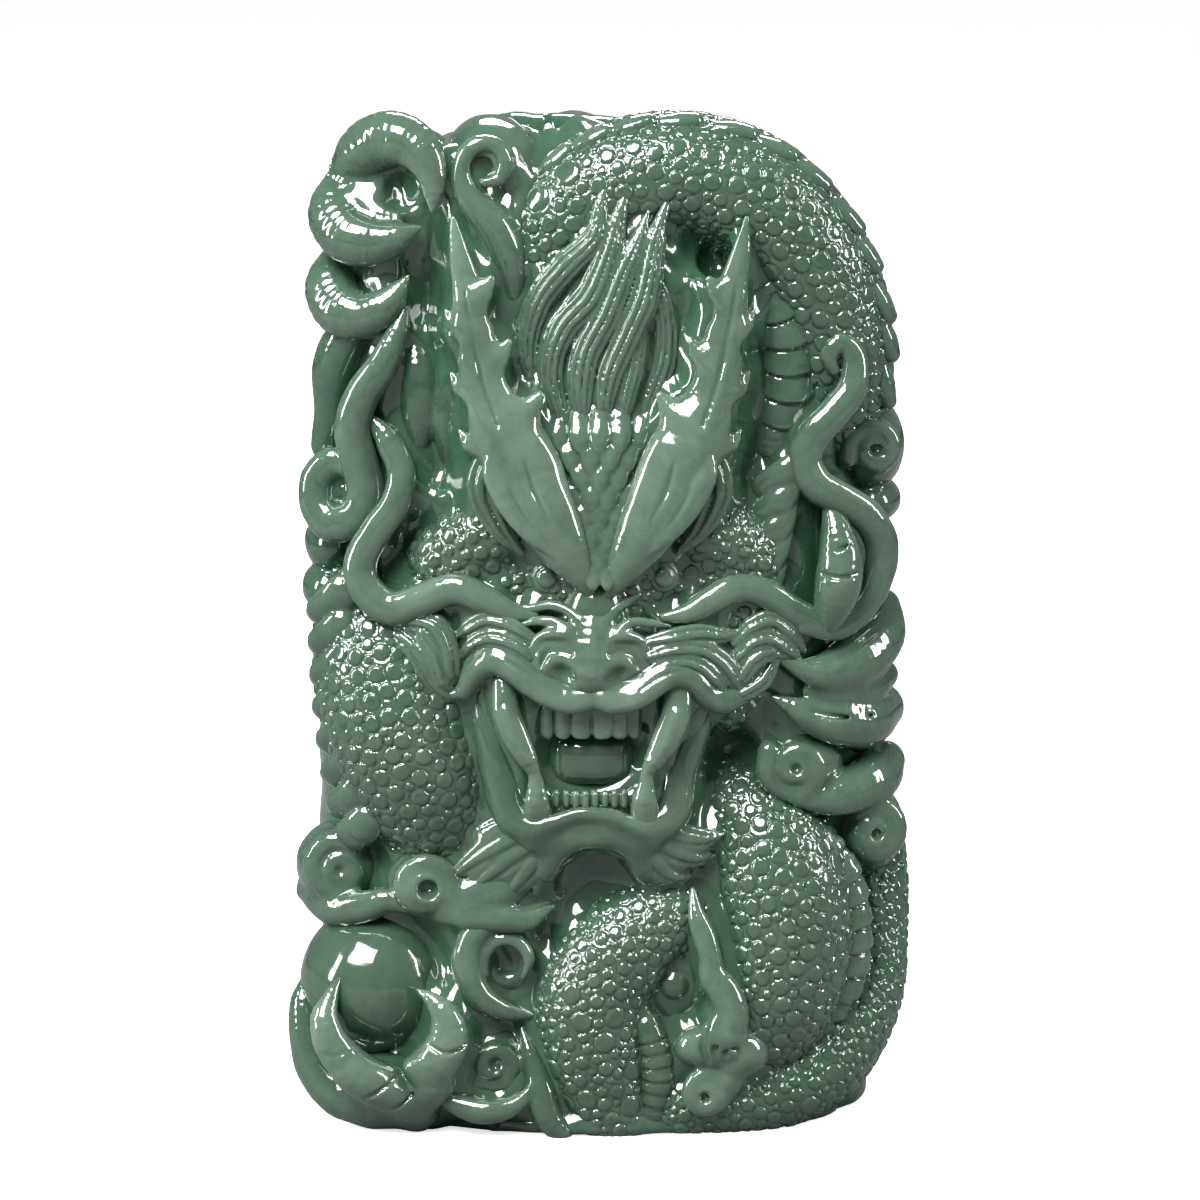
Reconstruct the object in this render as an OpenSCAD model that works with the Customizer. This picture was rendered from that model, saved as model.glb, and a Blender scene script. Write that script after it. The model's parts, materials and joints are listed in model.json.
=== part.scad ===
// Carved jade dragon, a hand-sized relief in the round on a flat base.
// Every carved element is its own solid, seated in the stone behind it.
// X is the width, -Y is the carved front, +Z is up.
// The origin is the middle of the flat base, and all lengths are millimetres.

/* [Stone] */
// Depth of the stone from its flat back to the origin plane
back_y = 10; // [8:0.5:14]
// Half width of the stone core behind the carving
core_half_w = 20; // [19:0.25:20.5]
// Distance from the origin plane to the core's front at its middle
core_front = 3; // [2:0.25:3.5]
// Distance from the origin plane to the core's front at its sides
core_side_y = 3; // [2.5:0.25:5]
// Height of the uncarved band at the foot
foot_h = 3; // [2:0.25:4]
// Half width of the foot
foot_half_w = 18.5; // [17:0.25:19.5]
// Distance from the origin plane to the front of the foot
foot_front = 7.5; // [6:0.25:8]

/* [Head] */
// Radius of each horn at its thickest
horn_r = 2.9; // [2.4:0.1:3.2]
// Radius of each eyeball
eye_r = 1.1; // [0.8:0.05:1.3]
// Radius of each nostril scroll
nostril_r = 1.8; // [1.5:0.1:2]
// Number of upper teeth
upper_tooth_count = 6; // [5:1:9]
// Number of lower teeth
lower_tooth_count = 8; // [4:1:9]
// Height of one tooth
tooth_h = 2; // [1.4:0.1:2.4]
// Radius of one tooth at its root
tooth_r = 0.65; // [0.55:0.05:0.7]
// Radius of one tooth at its blunt end
tooth_tip_r = 0.45; // [0.3:0.05:0.5]

/* [Body] */
// Radius of the arched upper body
arch_r = 4.4; // [4:0.1:4.6]
// Radius of the left coil at its middle
left_coil_r = 6; // [5:0.1:6.2]
// Radius of the right coil at its middle
right_coil_r = 5; // [4.5:0.1:5.4]
// Radius of the low middle coil
low_coil_r = 3.6; // [3.2:0.1:3.8]
// Height of one dorsal plate above the back
spine_h = 2; // [1.4:0.1:2.4]

/* [Pearl and clouds] */
// Radius of the flaming pearl
pearl_r = 5.5; // [5:0.1:5.8]
// Radius of a claw digit at its thickest
digit_r = 1.6; // [1.3:0.1:1.8]
// Radius of a drilled cloud eye
drill_r = 1.1; // [0.8:0.05:1.3]

/* [Hidden] */

raised = [0.44, 0.55, 0.48];
middle = [0.36, 0.46, 0.39];
deep = [0.26, 0.35, 0.29];
sides = 10;
foot_side_y = 3;

// A smooth curve through a list of points, three steps to each span.
function wrap(list, i) = list[max(0, min(len(list) - 1, i))];
function between(a, b, c, d, t) =
    0.5 * (2 * b + (c - a) * t + (2 * a - 5 * b + 4 * c - d) * t * t
    + (3 * b - a - 3 * c + d) * t * t * t);
function curve(list, steps = 3) = [
    for (i = [0 : len(list) - 2], k = [0 : steps - 1])
        between(wrap(list, i - 1), list[i], list[i + 1], wrap(list, i + 2), k / steps),
    list[len(list) - 1]
];
function unit3(v) = v / norm(v);
function place(p) = [p[0], p[1], p[2]];
function heading(c, i) =
    unit3(place(wrap(c, i + 1)) - place(wrap(c, i - 1)));
function across(t) = unit3(cross(t, [0, 1, 0]));
function ring(c, i, flat) =
    let (t = heading(c, i), s = across(t), n = cross(s, t))
    [for (k = [0 : sides - 1])
        place(c[i]) + c[i][3] * (s * cos(k * 360 / sides) + n * flat * sin(k * 360 / sides))];

// A tapering carved strand: each point is x, y, z and the radius there.
module strand(points, flat = 1, steps = 3) {
    line = curve(points, steps);
    last = len(line) - 1;
    skin = [for (i = [0 : last]) each ring(line, i, flat)];
    wall = [for (i = [0 : last - 1], k = [0 : sides - 1]) each [
        [i * sides + k, i * sides + (k + 1) % sides, (i + 1) * sides + k],
        [(i + 1) * sides + k, i * sides + (k + 1) % sides, (i + 1) * sides + (k + 1) % sides]
    ]];
    start = [for (k = [sides - 1 : -1 : 0]) k];
    finish = [for (k = [0 : sides - 1]) last * sides + k];
    polyhedron(skin, concat([start], wall, [finish]));
}

// A domed round boss that faces the front, from its seat to its crown.
module boss(x, z, r, seat, crown) {
    edge = min(r, seat - crown) * 0.6;
    translate([x, seat, z]) rotate([90, 0, 0]) rotate_extrude($fn = 48)
        intersection() {
            square([r + 1, seat - crown]);
            union() {
                square([r, seat - crown - edge]);
                square([r - edge, seat - crown]);
                translate([r - edge, seat - crown - edge]) circle(edge, $fn = 48);
            }
        }
}

// A round hole along Y from the front down to a depth.
module drilling(x, z, r, front, depth) {
    translate([x, front, z]) rotate([-90, 0, 0]) cylinder(h = depth, r = r, $fn = 32);
}

// A low ring that lies flat against the front.
module hoop(x, y, z, r, tube) {
    translate([x, y, z]) rotate([90, 0, 0]) rotate_extrude($fn = 48)
        translate([r, 0]) circle(tube, $fn = 24);
}

// A pointed plate between two rounded ends.
module spike(foot, foot_r, tip, tip_r) {
    hull() {
        translate(foot) sphere(foot_r, $fn = 8);
        translate(tip) sphere(tip_r, $fn = 6);
    }
}

// The plan of the stone: a flat back, short straight sides and a bowed front.
module bowed_plan(half_w, front, side_y) {
    rise = side_y + front;
    front_r = (half_w * half_w + rise * rise) / (2 * rise);
    intersection() {
        translate([-half_w, -front - 1]) square([2 * half_w, back_y + front + 1]);
        union() {
            translate([0, front_r - front]) circle(front_r, $fn = 180);
            translate([-half_w, side_y]) square([2 * half_w, back_y - side_y]);
        }
    }
}

module stone_core() {
    outline = curve([
        [-18.5, 0, 0], [-20, 8, 0], [-20, 20, 0], [-19.5, 32, 0], [-19, 44, 0],
        [-18.5, 54, 0], [-17.5, 62, 0], [-14, 67.5, 0], [-7, 70.5, 0], [1, 71, 0],
        [9, 70, 0], [15, 66.5, 0], [18, 60, 0], [19, 50, 0], [19.5, 40, 0],
        [20, 28, 0], [20, 14, 0], [19, 5, 0], [17.5, 0, 0]
    ]);
    color(deep) intersection() {
        translate([0, back_y, 0]) rotate([90, 0, 0]) linear_extrude(back_y + core_front + 1)
            polygon([for (p = outline) [p[0], p[1]]]);
        linear_extrude(80) bowed_plan(core_half_w, core_front, core_side_y);
    }
}

// The polished uncarved band that the carving stands on.
module stone_foot() {
    color(middle) linear_extrude(foot_h)
        bowed_plan(foot_half_w, foot_front, foot_side_y);
}

module rear_cloud() {
    color(middle) strand([
        [-8, 3, 67, 2.6], [-5.5, 2, 69.4, 2.4], [-2, 2, 70.6, 2.2], [2, 3, 70, 2]
    ]);
}

module top_scroll() {
    color(raised) difference() {
        union() {
            boss(-8, 69, 3.4, 4, -4);
            strand([
                [-8, -1, 67, 2.6], [-7, -3.5, 64, 1.7], [-6.2, -4.5, 61, 1.2],
                [-6, -4, 57.5, 0.3]
            ]);
        }
        drilling(-8.2, 68.6, 0.9, -5, 3);
    }
}

module upper_claw() {
    color(raised) {
        boss(-12.5, 65, 3.5, 6, -1);
        strand([
            [-15.5, 1, 67, 1.2], [-15.2, -1.5, 69.6, digit_r], [-13.4, -3, 71, 1.5],
            [-12, -4, 69, 1.2], [-11.5, -4.5, 66.2, 0.3]
        ]);
        strand([
            [-15.5, 0, 65.5, 1.2], [-18, -1.5, 64.8, digit_r], [-16.6, -3, 63.4, 1.5],
            [-14.5, -4, 63.6, 1.1], [-12.7, -4.5, 64.7, 0.3]
        ]);
        strand([
            [-17, 0, 62, 1], [-18.6, -1, 59.3, digit_r], [-17.4, -2.5, 57.6, 1.5],
            [-15.2, -3.5, 58.8, 1.2], [-13.4, -4, 61, 0.3]
        ]);
    }
}

module body_arch() {
    color(middle) strand([
        [-5.5, 3, 55, 3.6], [-4.8, 0, 60, arch_r], [-2.6, -1, 65, arch_r],
        [1.4, -1.2, 67.9, arch_r], [6, -1.2, 68.6, arch_r], [10.6, -1, 67, arch_r],
        [14, -0.5, 63, arch_r], [15.8, 0, 58, arch_r], [16.3, 1.2, 53, 4],
        [16, 2.5, 48, 3.2]
    ], steps = 2);
}

// Overlapping plates along the outer edge of the arched back.
module arch_spines() {
    radius = 12.2;
    color(raised) for (a = [25 : 13.5 : 160]) {
        foot = [4.8 + (radius + 0.6) * cos(a), -2.2, 58.6 + radius * sin(a)];
        tip = [4.8 + (radius + spine_h) * cos(a + 7), -2.6, 58.6 + (radius + spine_h) * sin(a + 7)];
        spike(foot, 0.9, tip, 0.3);
    }
}

// Cross plates on the belly side of the arch.
module arch_belly() {
    color(raised) for (i = [0 : 8]) {
        z = 49 + i * 1.9;
        x = 12.6 - 0.05 * pow(z - 56, 2) * 0.4;
        translate([x, -2.4, z]) sphere(1.5, $fn = 8);
    }
}

module left_coil() {
    color(middle) strand([
        [-16, 4, 42, 3], [-16, 1, 38, 4.2], [-15.2, -0.5, 33.5, 5.3],
        [-13.6, -1, 28, left_coil_r], [-11.5, 0, 23, 5.2], [-9, 3, 19.5, 4]
    ]);
}

module left_coil_spines() {
    color(raised) for (i = [0 : 8]) {
        z = 36.5 - i * 1.9;
        x = -19.4 - 0.4 * sin(i * 30);
        spike([x + 0.6, 0, z], 1.1, [x - 0.9, -0.5, z - 1.4], 0.35);
    }
}

module right_coil() {
    color(middle) strand([
        [7.5, 3, 25, 3], [10.5, -0.5, 22.6, 4.2], [13, -2, 18.5, right_coil_r],
        [13.4, -2.2, 13, right_coil_r], [11.8, -1.6, 8, 4.6], [8.5, 0, 4.6, 3.6],
        [5, 2, 3.4, 2.6]
    ], steps = 2);
}

// Wide cross plates where the belly of the right coil shows.
module right_coil_plates() {
    color(raised) for (i = [0 : 8]) {
        z = 19.4 - i * 1.6;
        x = 17.2 + 0.3 * sin(i * 22);
        spike([x - 1, -2.6, z], 0.9, [x + 0.8, -1.8, z - 0.8], 0.5);
    }
}

module outer_coil() {
    color(deep) strand([
        [18.4, 3.5, 24.5, 1.8], [19.4, 2.6, 20, 2.4], [19.6, 2.4, 14, 2.4],
        [18.6, 1.6, 8.5, 2.6], [15.4, 0.4, 4.6, 2.6], [11, -1.5, 3, 2.3], [6, -2.5, 2.8, 2]
    ], steps = 2);
}

module low_coil() {
    color(middle) strand([
        [8.6, 0.5, 15.8, 2.4], [5.5, -2.6, 16, 3.1], [2, -3.8, 14.2, low_coil_r],
        [-0.4, -4, 10.6, low_coil_r], [-0.4, -3.6, 6.8, low_coil_r], [1.8, -2.6, 4.2, 3]
    ]);
}

module hip() {
    color(middle) boss(4.6, 9.6, 4.2, 2, -4);
}

// The mass of the head behind the face and between the horns.
module skull() {
    color(middle) strand([
        [0, -0.5, 56, 2.5], [0, -2, 51.5, 4.8], [0, -2.6, 45.5, 6.6], [0, -2.6, 39, 7],
        [0, -1.6, 33, 5]
    ], flat = 0.6);
}

// Locks of hair that part behind the horns.
module mane() {
    color(raised) {
        strand([
            [0.4, -4, 67, 0.5], [-1, -4.6, 64, 1.3], [-3, -4.4, 60, 1.6],
            [-4.4, -4.2, 56.6, 1.3], [-5, -4.4, 53.8, 0.3]
        ]);
        strand([
            [2.2, -4, 66, 0.7], [0.6, -4.6, 62, 1.7], [-0.8, -4.4, 58, 1.9],
            [-1.8, -4.6, 54, 1.5], [-2, -4.8, 50, 0.8]
        ]);
        strand([
            [4.4, -4, 66.4, 0.5], [3.8, -4.6, 62.6, 1.4], [3, -4.4, 58.6, 1.9],
            [1.6, -4.6, 54.5, 1.7], [1.6, -4.8, 50, 0.8]
        ]);
    }
}

// One horn for the left side; the right horn is its mirror image.
module horn() {
    color(raised) {
        strand([
            [-0.9, -6.6, 41, 1.1], [-2.4, -7.2, 44, 2.1], [-4.6, -6.8, 48.2, horn_r],
            [-6.4, -6, 52.4, 2.7], [-7.8, -5, 56.8, 2.1], [-8.6, -4.6, 60.6, 1.6],
            [-9.3, -5, 63.6, 1], [-9.8, -5.4, 66, 0.3]
        ], flat = 0.85);
        spike([-8.2, -4.8, 59.4], 1.1, [-6.9, -5, 62.4], 0.3);
        spike([-7.4, -5.4, 55], 1.3, [-6, -5.6, 57.6], 0.3);
        spike([-8.4, -5, 57.2], 1.2, [-10.4, -5, 59.4], 0.3);
        spike([-7.4, -5.8, 53], 1.5, [-10, -5.6, 55.4], 0.3);
    }
}

module left_horn() { horn(); }

module right_horn() { mirror([1, 0, 0]) horn(); }

// One ear for the left side, a cupped leaf under the horn.
module ear() {
    color(middle) strand([
        [-5.6, -4, 50, 0.8], [-7.8, -4.8, 48, 1.8], [-9, -5, 45, 1.8], [-8, -5, 42.4, 0.6]
    ], flat = 0.7);
}

module left_ear() { ear(); }

module right_ear() { mirror([1, 0, 0]) ear(); }

// The wedge of overlapping scales between the horns.
module forehead() {
    color(raised) for (row = [0 : 3], k = [0 : row]) {
        x = (k - row / 2) * 1.5;
        z = 41.4 + row * 2.4;
        spike([x, -6.4, z + 1], 1.1, [x, -7.6, z - 0.8], 0.4);
    }
}

// One cheek for the left side, a padded brow and jowl behind the eye.
module cheek() {
    color(middle) {
        strand([
            [-2, -5, 41.8, 1.6], [-5, -5.4, 43, 2.2], [-8, -4.4, 42, 2.4],
            [-9.6, -3.6, 39, 2.6], [-9.8, -3.6, 35, 2.4], [-9.6, -3.8, 31.4, 1.7],
            [-8.6, -4.4, 27, 1.3], [-6.6, -5.4, 23, 1]
        ]);
    }
}

module left_cheek() { cheek(); }

module right_cheek() { mirror([1, 0, 0]) cheek(); }

module eye(x) {
    color(raised) translate([x, -6.6, 40.4]) sphere(eye_r, $fn = 32);
}

module left_eye() { eye(-4); }

module right_eye() { eye(4.4); }

module muzzle() {
    color(middle) strand([
        [0, -3.4, 42, 2.6], [0, -4.6, 39.4, 3.4], [0, -5, 36.6, 4.6], [0, -4, 33.4, 4.8]
    ]);
}

module nose() {
    color(raised) {
        strand([[0, -7.6, 40.4, 0.9], [-0.2, -8.6, 38.4, 1.3], [-0.6, -8.8, 36.2, 2]]);
        translate([-2.8, -7.9, 35.4]) sphere(nostril_r, $fn = 12);
        translate([1.7, -7.9, 35.3]) sphere(nostril_r, $fn = 12);
    }
}

module upper_lip() {
    color(raised) strand([
        [-9.4, -5, 31, 1], [-8.6, -6.2, 33, 1.2], [-7, -7, 34.2, 1.2], [-5.2, -7.6, 33.4, 1.2],
        [-3.4, -8.2, 32.4, 1.2], [-0.4, -8.6, 31.9, 1.2], [2.6, -8.2, 32.4, 1.2],
        [4.8, -7.6, 33.6, 1.2], [6.4, -7, 33.8, 1.2], [7.6, -6.2, 32.6, 1.1], [8.4, -5, 31, 0.9]
    ], steps = 2);
}

module left_moustache() {
    color(raised) {
        strand([
            [-3.6, -7.6, 36.6, 0.9], [-7, -7.4, 36.2, 1.3], [-10.4, -6.4, 36.8, 1.4],
            [-13.4, -5.2, 37, 0.9], [-15.8, -4.4, 36.6, 0.3]
        ]);
        strand([
            [-10, -6, 36, 1.1], [-12, -5.6, 34.6, 1.2], [-12.8, -5.4, 32.4, 0.8],
            [-12.6, -5, 30.6, 0.3]
        ]);
    }
}

module right_moustache() {
    color(raised) {
        strand([
            [3.2, -7.6, 36.6, 0.9], [7, -7.2, 36.8, 1.3], [10.2, -6.4, 37.4, 1.3],
            [12.6, -5.2, 36.4, 1]
        ]);
        strand([
            [9.6, -6, 36.4, 1.1], [11.8, -5.6, 35, 1.2], [12.6, -5.4, 33, 1],
            [12, -5, 30.6, 0.3]
        ]);
    }
}

// A row of pointed teeth along a shallow arc; drop is -1 down or 1 up.
module tooth_row(count, half_w, z, drop) {
    color(raised) for (i = [0 : count - 1]) {
        x = -0.5 + half_w * (2 * i / (count - 1) - 1);
        y = -7 + 0.06 * x * x;
        translate([x, y, z]) mirror([0, 0, drop < 0 ? 1 : 0])
            cylinder(h = tooth_h, r1 = tooth_r, r2 = tooth_tip_r, $fn = 24);
    }
}

module upper_teeth() { tooth_row(upper_tooth_count, 3.3, 31.4, -1); }

module lower_teeth() { tooth_row(lower_tooth_count, 2.9, 23.2, 1); }

module tongue() {
    color(middle) strand([
        [-0.4, 0.5, 25, 2], [-0.4, -2.5, 26.4, 2.2], [-0.4, -5, 27, 1.6], [-0.4, -6.2, 26.2, 0.6]
    ], steps = 2);
}

// A long eye tooth that crosses the open corner of the mouth.
module fang() {
    color(raised) strand([
        [-7.2, -6.4, 32.8, 1.2], [-6.5, -7, 30.8, 1.2], [-5.6, -7.4, 28.5, 1],
        [-4.8, -7.4, 26.4, 0.8], [-4.5, -7, 25, 0.8], [-4.8, -6.4, 23, 1]
    ], steps = 2);
}

module left_fang() { fang(); }

module right_fang() { mirror([1, 0, 0]) fang(); }

module lower_jaw() {
    color(middle) {
        strand([
            [-8.4, -3.6, 24.4, 1.2], [-6.4, -5.4, 22.6, 1.4], [-3.6, -6.6, 22.8, 1.5],
            [-0.5, -7.2, 22.6, 1.7], [2.6, -6.6, 22.8, 1.5], [5.4, -5.4, 22.6, 1.4],
            [7.4, -3.6, 24.4, 1.2]
        ]);
        strand([
            [-0.5, 2, 22, 3.4], [-0.6, -2, 21.8, 3.2], [-0.8, -5.4, 21.4, 2.2],
            [-0.8, -6.8, 21, 1.2]
        ], steps = 2);
    }
}

module left_beard() {
    color(raised) strand([
        [-4.6, -4.6, 20.8, 1.1], [-7.4, -5, 20, 1.6], [-10.6, -4.6, 20.4, 1.4],
        [-14, -3.6, 19.8, 0.4]
    ]);
}

module right_beard() {
    color(raised) strand([
        [3, -4.8, 20.8, 1.1], [5, -5, 19.6, 1.5], [7, -4.6, 18.4, 1], [9, -4.2, 18.6, 0.4]
    ]);
}

module left_whisker() {
    color(raised) strand([
        [-6.6, -6.4, 38, 1], [-10, -6, 39.4, 1.1], [-13.6, -5, 38.2, 1.1],
        [-16.2, -4.4, 39.6, 1.1], [-16, -4.2, 43, 1.1], [-14, -4.2, 46, 1.1],
        [-14.4, -4, 49, 1], [-16, -3.2, 51, 0.4]
    ]);
}

module left_curl_ribbon() {
    color(raised) {
        strand([
            [-13.8, -3, 59, 0.4], [-14.8, -3.6, 56.4, 0.9], [-16.6, -3.4, 53.2, 1],
            [-17.2, -3.2, 49.6, 1.1], [-16.4, -3, 46.4, 1.1], [-17, -2.6, 43.8, 1.1]
        ]);
        hoop(-17.6, -2.4, 46.4, 1.7, 0.9);
    }
}

module right_whisker() {
    color(raised) strand([
        [16.6, -3, 57.4, 0.4], [17.6, -3.8, 54.6, 0.9], [16.2, -4.2, 52, 1],
        [14.5, -4.4, 49.4, 1.1], [15.4, -4.4, 46.8, 1.1], [18, -3.8, 45, 1.1],
        [19.6, -3, 42, 1.1], [19.2, -3, 38.8, 1], [16.4, -4, 36.8, 1], [12.4, -5, 36.4, 0.9]
    ]);
}

// Flame-shaped leaves that stand out behind the right cheek.
module cheek_spikes() {
    color(raised) for (i = [0 : 3])
        spike([11.4 + i * 0.4, -3.4, 39 + i * 2.2], 1.3, [14 + i * 0.2, -4, 41.6 + i * 2.2], 0.3);
}

// A pale segmented bud with a joint line round its middle.
module bud_talon() {
    color(raised) {
        strand([
            [16, -2, 45, 0.4], [16.8, -3.4, 43, 1.6], [16.9, -3.8, 41.2, 1.9], [16.8, -3.8, 40.6, 1.7]
        ], steps = 2);
        strand([
            [16.7, -3.8, 40.4, 1.7], [16.4, -3.8, 39, 1.8], [16, -3.6, 37, 1.2], [15.8, -3.2, 35.6, 0.3]
        ], steps = 2);
    }
}

module upper_right_cloud() {
    color(raised) difference() {
        boss(19.3, 49, 2.4, 6, -0.6);
        drilling(19.9, 48.9, 0.5, -1.5, 1.6);
    }
}

module right_cloud() {
    color(raised) {
        boss(18.4, 34.6, 2.9, 6, -2.4);
        strand([
            [13.6, -3.6, 32.4, 0.5], [15.6, -3.4, 31.2, 1.5], [18, -2, 29.8, 1.9], [20.2, 0.5, 28.6, 1.4]
        ]);
    }
}

module right_scroll() {
    color(raised) difference() {
        union() {
            boss(13.9, 26.4, 2.6, 4, -4.2);
            boss(19.6, 24.4, 2.2, 6, -1.2);
            boss(20, 21, 1.9, 6, -0.6);
        }
        drilling(13.9, 26.4, drill_r, -5, 2.4);
        drilling(20.4, 21, 0.7, -1.5, 2);
    }
}

module left_edge_cloud() {
    color(middle) {
        boss(-18.8, 42, 1.9, 6, 0);
        boss(-19.2, 39.4, 1.7, 6, 0.4);
        strand([
            [-16, -1, 60, 0.4], [-17.6, -1, 57.4, 1.6], [-18.6, 0, 54, 1.8], [-18.6, 1, 50.6, 1.2]
        ]);
    }
}

module left_low_cloud() {
    color(raised) {
        boss(-19.2, 18.6, 2.6, 6, -0.8);
        strand([
            [-20.2, 0.5, 16.4, 1.2], [-18, -1.2, 16.9, 1.4], [-15.6, -2.4, 17.4, 1.2],
            [-13.6, -3, 17.2, 0.8]
        ]);
    }
}

module beard_curl() {
    color(raised) difference() {
        union() {
            boss(-12.6, 18, 2.5, 3, -5);
            strand([[-11, -4, 17.6, 1.2], [-8.8, -4.2, 17.2, 1.1], [-6.4, -4, 16, 0.5]]);
        }
        drilling(-12.1, 17.9, drill_r, -6, 3);
    }
}

module scroll_ring() {
    color(raised) {
        boss(-7.1, 12, 3, 3, -1.6);
        hoop(-7.1, -2.4, 12, 2.1, 1);
        strand([[-5.4, -2.6, 13.6, 0.9], [-4.2, -3, 14.6, 0.8], [-3, -3, 15.4, 0.3]]);
    }
}

module small_curl() {
    color(middle) boss(-7.6, 4.6, 2.6, 3, -3.4);
}

// A trefoil cloud on a rippling stem.
module ruyi_cloud() {
    color(raised) {
        strand([
            [6.8, -4.6, 17.4, 0.5], [7.4, -5.6, 15, 1.2], [7.8, -5.8, 12.4, 1.3],
            [8.8, -5.8, 10.2, 1.4], [9.4, -5.6, 8.4, 1.5]
        ]);
        boss(8.6, 7.2, 1.7, 0, -6.4);
        boss(10.8, 5.9, 1.7, 0, -6);
        difference() {
            boss(7.6, 3.6, 2, 0, -6.2);
            drilling(7.2, 3.2, 0.5, -7, 2.4);
        }
    }
}

module pearl() {
    color(middle) translate([-16, -0.6, 10.4]) sphere(pearl_r, $fn = 64);
}

module pearl_claw() {
    color(raised) {
        strand([
            [-18.8, -4.4, 11.6, 0.3], [-19.9, -5.6, 9.4, 1], [-19.4, -6.2, 6.8, 1.3],
            [-17.6, -6.4, 5.4, digit_r], [-15.6, -5.6, 3.8, digit_r], [-13.6, -4, 2.4, 1.4]
        ]);
        strand([
            [-14.2, -5.6, 11.4, 0.3], [-12.3, -6.2, 9.8, 1], [-11.4, -6.4, 7.4, 1.4],
            [-12, -5.8, 4.8, digit_r], [-13.2, -4.4, 2.8, 1.4]
        ]);
        strand([
            [-20.6, 0, 9.6, 0.4], [-21, -0.4, 7, 1.1], [-20.4, -0.6, 4.4, 1.3], [-18.4, -1.4, 2.2, 1.3]
        ]);
    }
}

stone_core();
stone_foot();
rear_cloud();
top_scroll();
upper_claw();
body_arch();
arch_spines();
arch_belly();
left_coil();
left_coil_spines();
right_coil();
right_coil_plates();
outer_coil();
low_coil();
hip();
mane();
skull();
left_horn();
right_horn();
left_ear();
right_ear();
forehead();
left_cheek();
right_cheek();
left_eye();
right_eye();
muzzle();
nose();
upper_lip();
left_moustache();
right_moustache();
upper_teeth();
lower_teeth();
tongue();
left_fang();
right_fang();
lower_jaw();
left_beard();
right_beard();
left_whisker();
left_curl_ribbon();
right_whisker();
cheek_spikes();
bud_talon();
upper_right_cloud();
right_cloud();
right_scroll();
left_edge_cloud();
left_low_cloud();
beard_curl();
scroll_ring();
small_curl();
ruyi_cloud();
pearl();
pearl_claw();
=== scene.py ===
import json
import math
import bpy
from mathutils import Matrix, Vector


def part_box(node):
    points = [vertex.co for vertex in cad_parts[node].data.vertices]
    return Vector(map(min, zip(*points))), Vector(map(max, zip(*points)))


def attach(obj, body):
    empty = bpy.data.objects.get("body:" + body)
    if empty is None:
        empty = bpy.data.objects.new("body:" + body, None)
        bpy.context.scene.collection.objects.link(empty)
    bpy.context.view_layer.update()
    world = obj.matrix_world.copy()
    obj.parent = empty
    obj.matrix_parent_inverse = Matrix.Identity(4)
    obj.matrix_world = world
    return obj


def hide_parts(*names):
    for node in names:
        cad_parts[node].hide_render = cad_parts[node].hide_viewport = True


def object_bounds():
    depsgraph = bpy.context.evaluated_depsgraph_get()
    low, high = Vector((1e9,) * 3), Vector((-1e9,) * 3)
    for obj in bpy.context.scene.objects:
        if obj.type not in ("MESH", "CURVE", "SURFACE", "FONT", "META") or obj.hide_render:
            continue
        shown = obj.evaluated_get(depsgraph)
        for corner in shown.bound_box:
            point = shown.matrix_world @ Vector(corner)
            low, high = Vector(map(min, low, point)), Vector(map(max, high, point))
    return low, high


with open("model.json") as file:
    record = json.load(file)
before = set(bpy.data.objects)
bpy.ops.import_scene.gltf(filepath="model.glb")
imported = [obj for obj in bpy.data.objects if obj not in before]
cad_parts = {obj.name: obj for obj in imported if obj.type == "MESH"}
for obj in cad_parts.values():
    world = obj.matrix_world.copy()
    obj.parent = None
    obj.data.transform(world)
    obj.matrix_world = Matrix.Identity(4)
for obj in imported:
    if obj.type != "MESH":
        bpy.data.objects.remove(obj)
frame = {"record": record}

from concurrent.futures import ThreadPoolExecutor

import bpy
import numpy as np
import openvdb
from mathutils import Vector

# Each carved element is modelled as clay: a grid of signed distances that
# strands, balls and holes are added to or cut from, then skinned as one mesh.
# Routes are millimetres in the part's own frame, drawn for a 73 mm tall stone.
cad_low, cad_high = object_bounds()
DRAWN_HEIGHT = 73.0
MM_TO_M = 0.001
MM = (cad_high[2] - cad_low[2]) / DRAWN_HEIGHT
CELL = 0.13
RING_CELL = 0.11
# The largest distance kept, the margin round each shape, and how far the
# stone lies behind the relief that it carries.
FAR = 5.0
SKIN = 0.9
GROUND_DROP = 0.7
BACK_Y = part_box("stone_core")[1].y / MM


# ---------------------------------------------------------------- clay tools
def smooth_min(a, b, reach):
    """The lower of two distances, blended where they meet within reach."""
    if reach <= 0:
        return np.minimum(a, b)
    mix = np.clip(0.5 + 0.5 * (b - a) / reach, 0.0, 1.0)
    return b + (a - b) * mix - reach * mix * (1.0 - mix)


def smooth_max(a, b, reach):
    """The higher of two distances, blended where they meet within reach."""
    return -smooth_min(-a, -b, reach)


def spline(points, step=0.45):
    """A smooth curve through the points: places, radii and distance along."""
    p = np.array(points, float)
    padded = np.vstack([2 * p[0] - p[1], p, 2 * p[-1] - p[-2]])
    rows = []
    for i in range(1, len(padded) - 2):
        a, b, c, d = padded[i - 1:i + 3]
        count = max(2, int(np.linalg.norm(c[:3] - b[:3]) / step))
        for k in range(count):
            t = k / count
            rows.append(0.5 * (2 * b + (c - a) * t + (2 * a - 5 * b + 4 * c - d) * t * t
                               + (3 * b - a - 3 * c + d) * t ** 3))
    rows.append(padded[-2])
    line = np.array(rows)
    line[:, 3] = np.maximum(line[:, 3], 0.12)
    steps = np.linalg.norm(np.diff(line[:, :3], axis=0), axis=1)
    along = np.concatenate([[0.0], np.cumsum(steps)])
    mean_r = 0.5 * (line[1:, 3] + line[:-1, 3])
    turn = np.concatenate([[0.0], np.cumsum(steps / mean_r)])
    return line, along, turn


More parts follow.
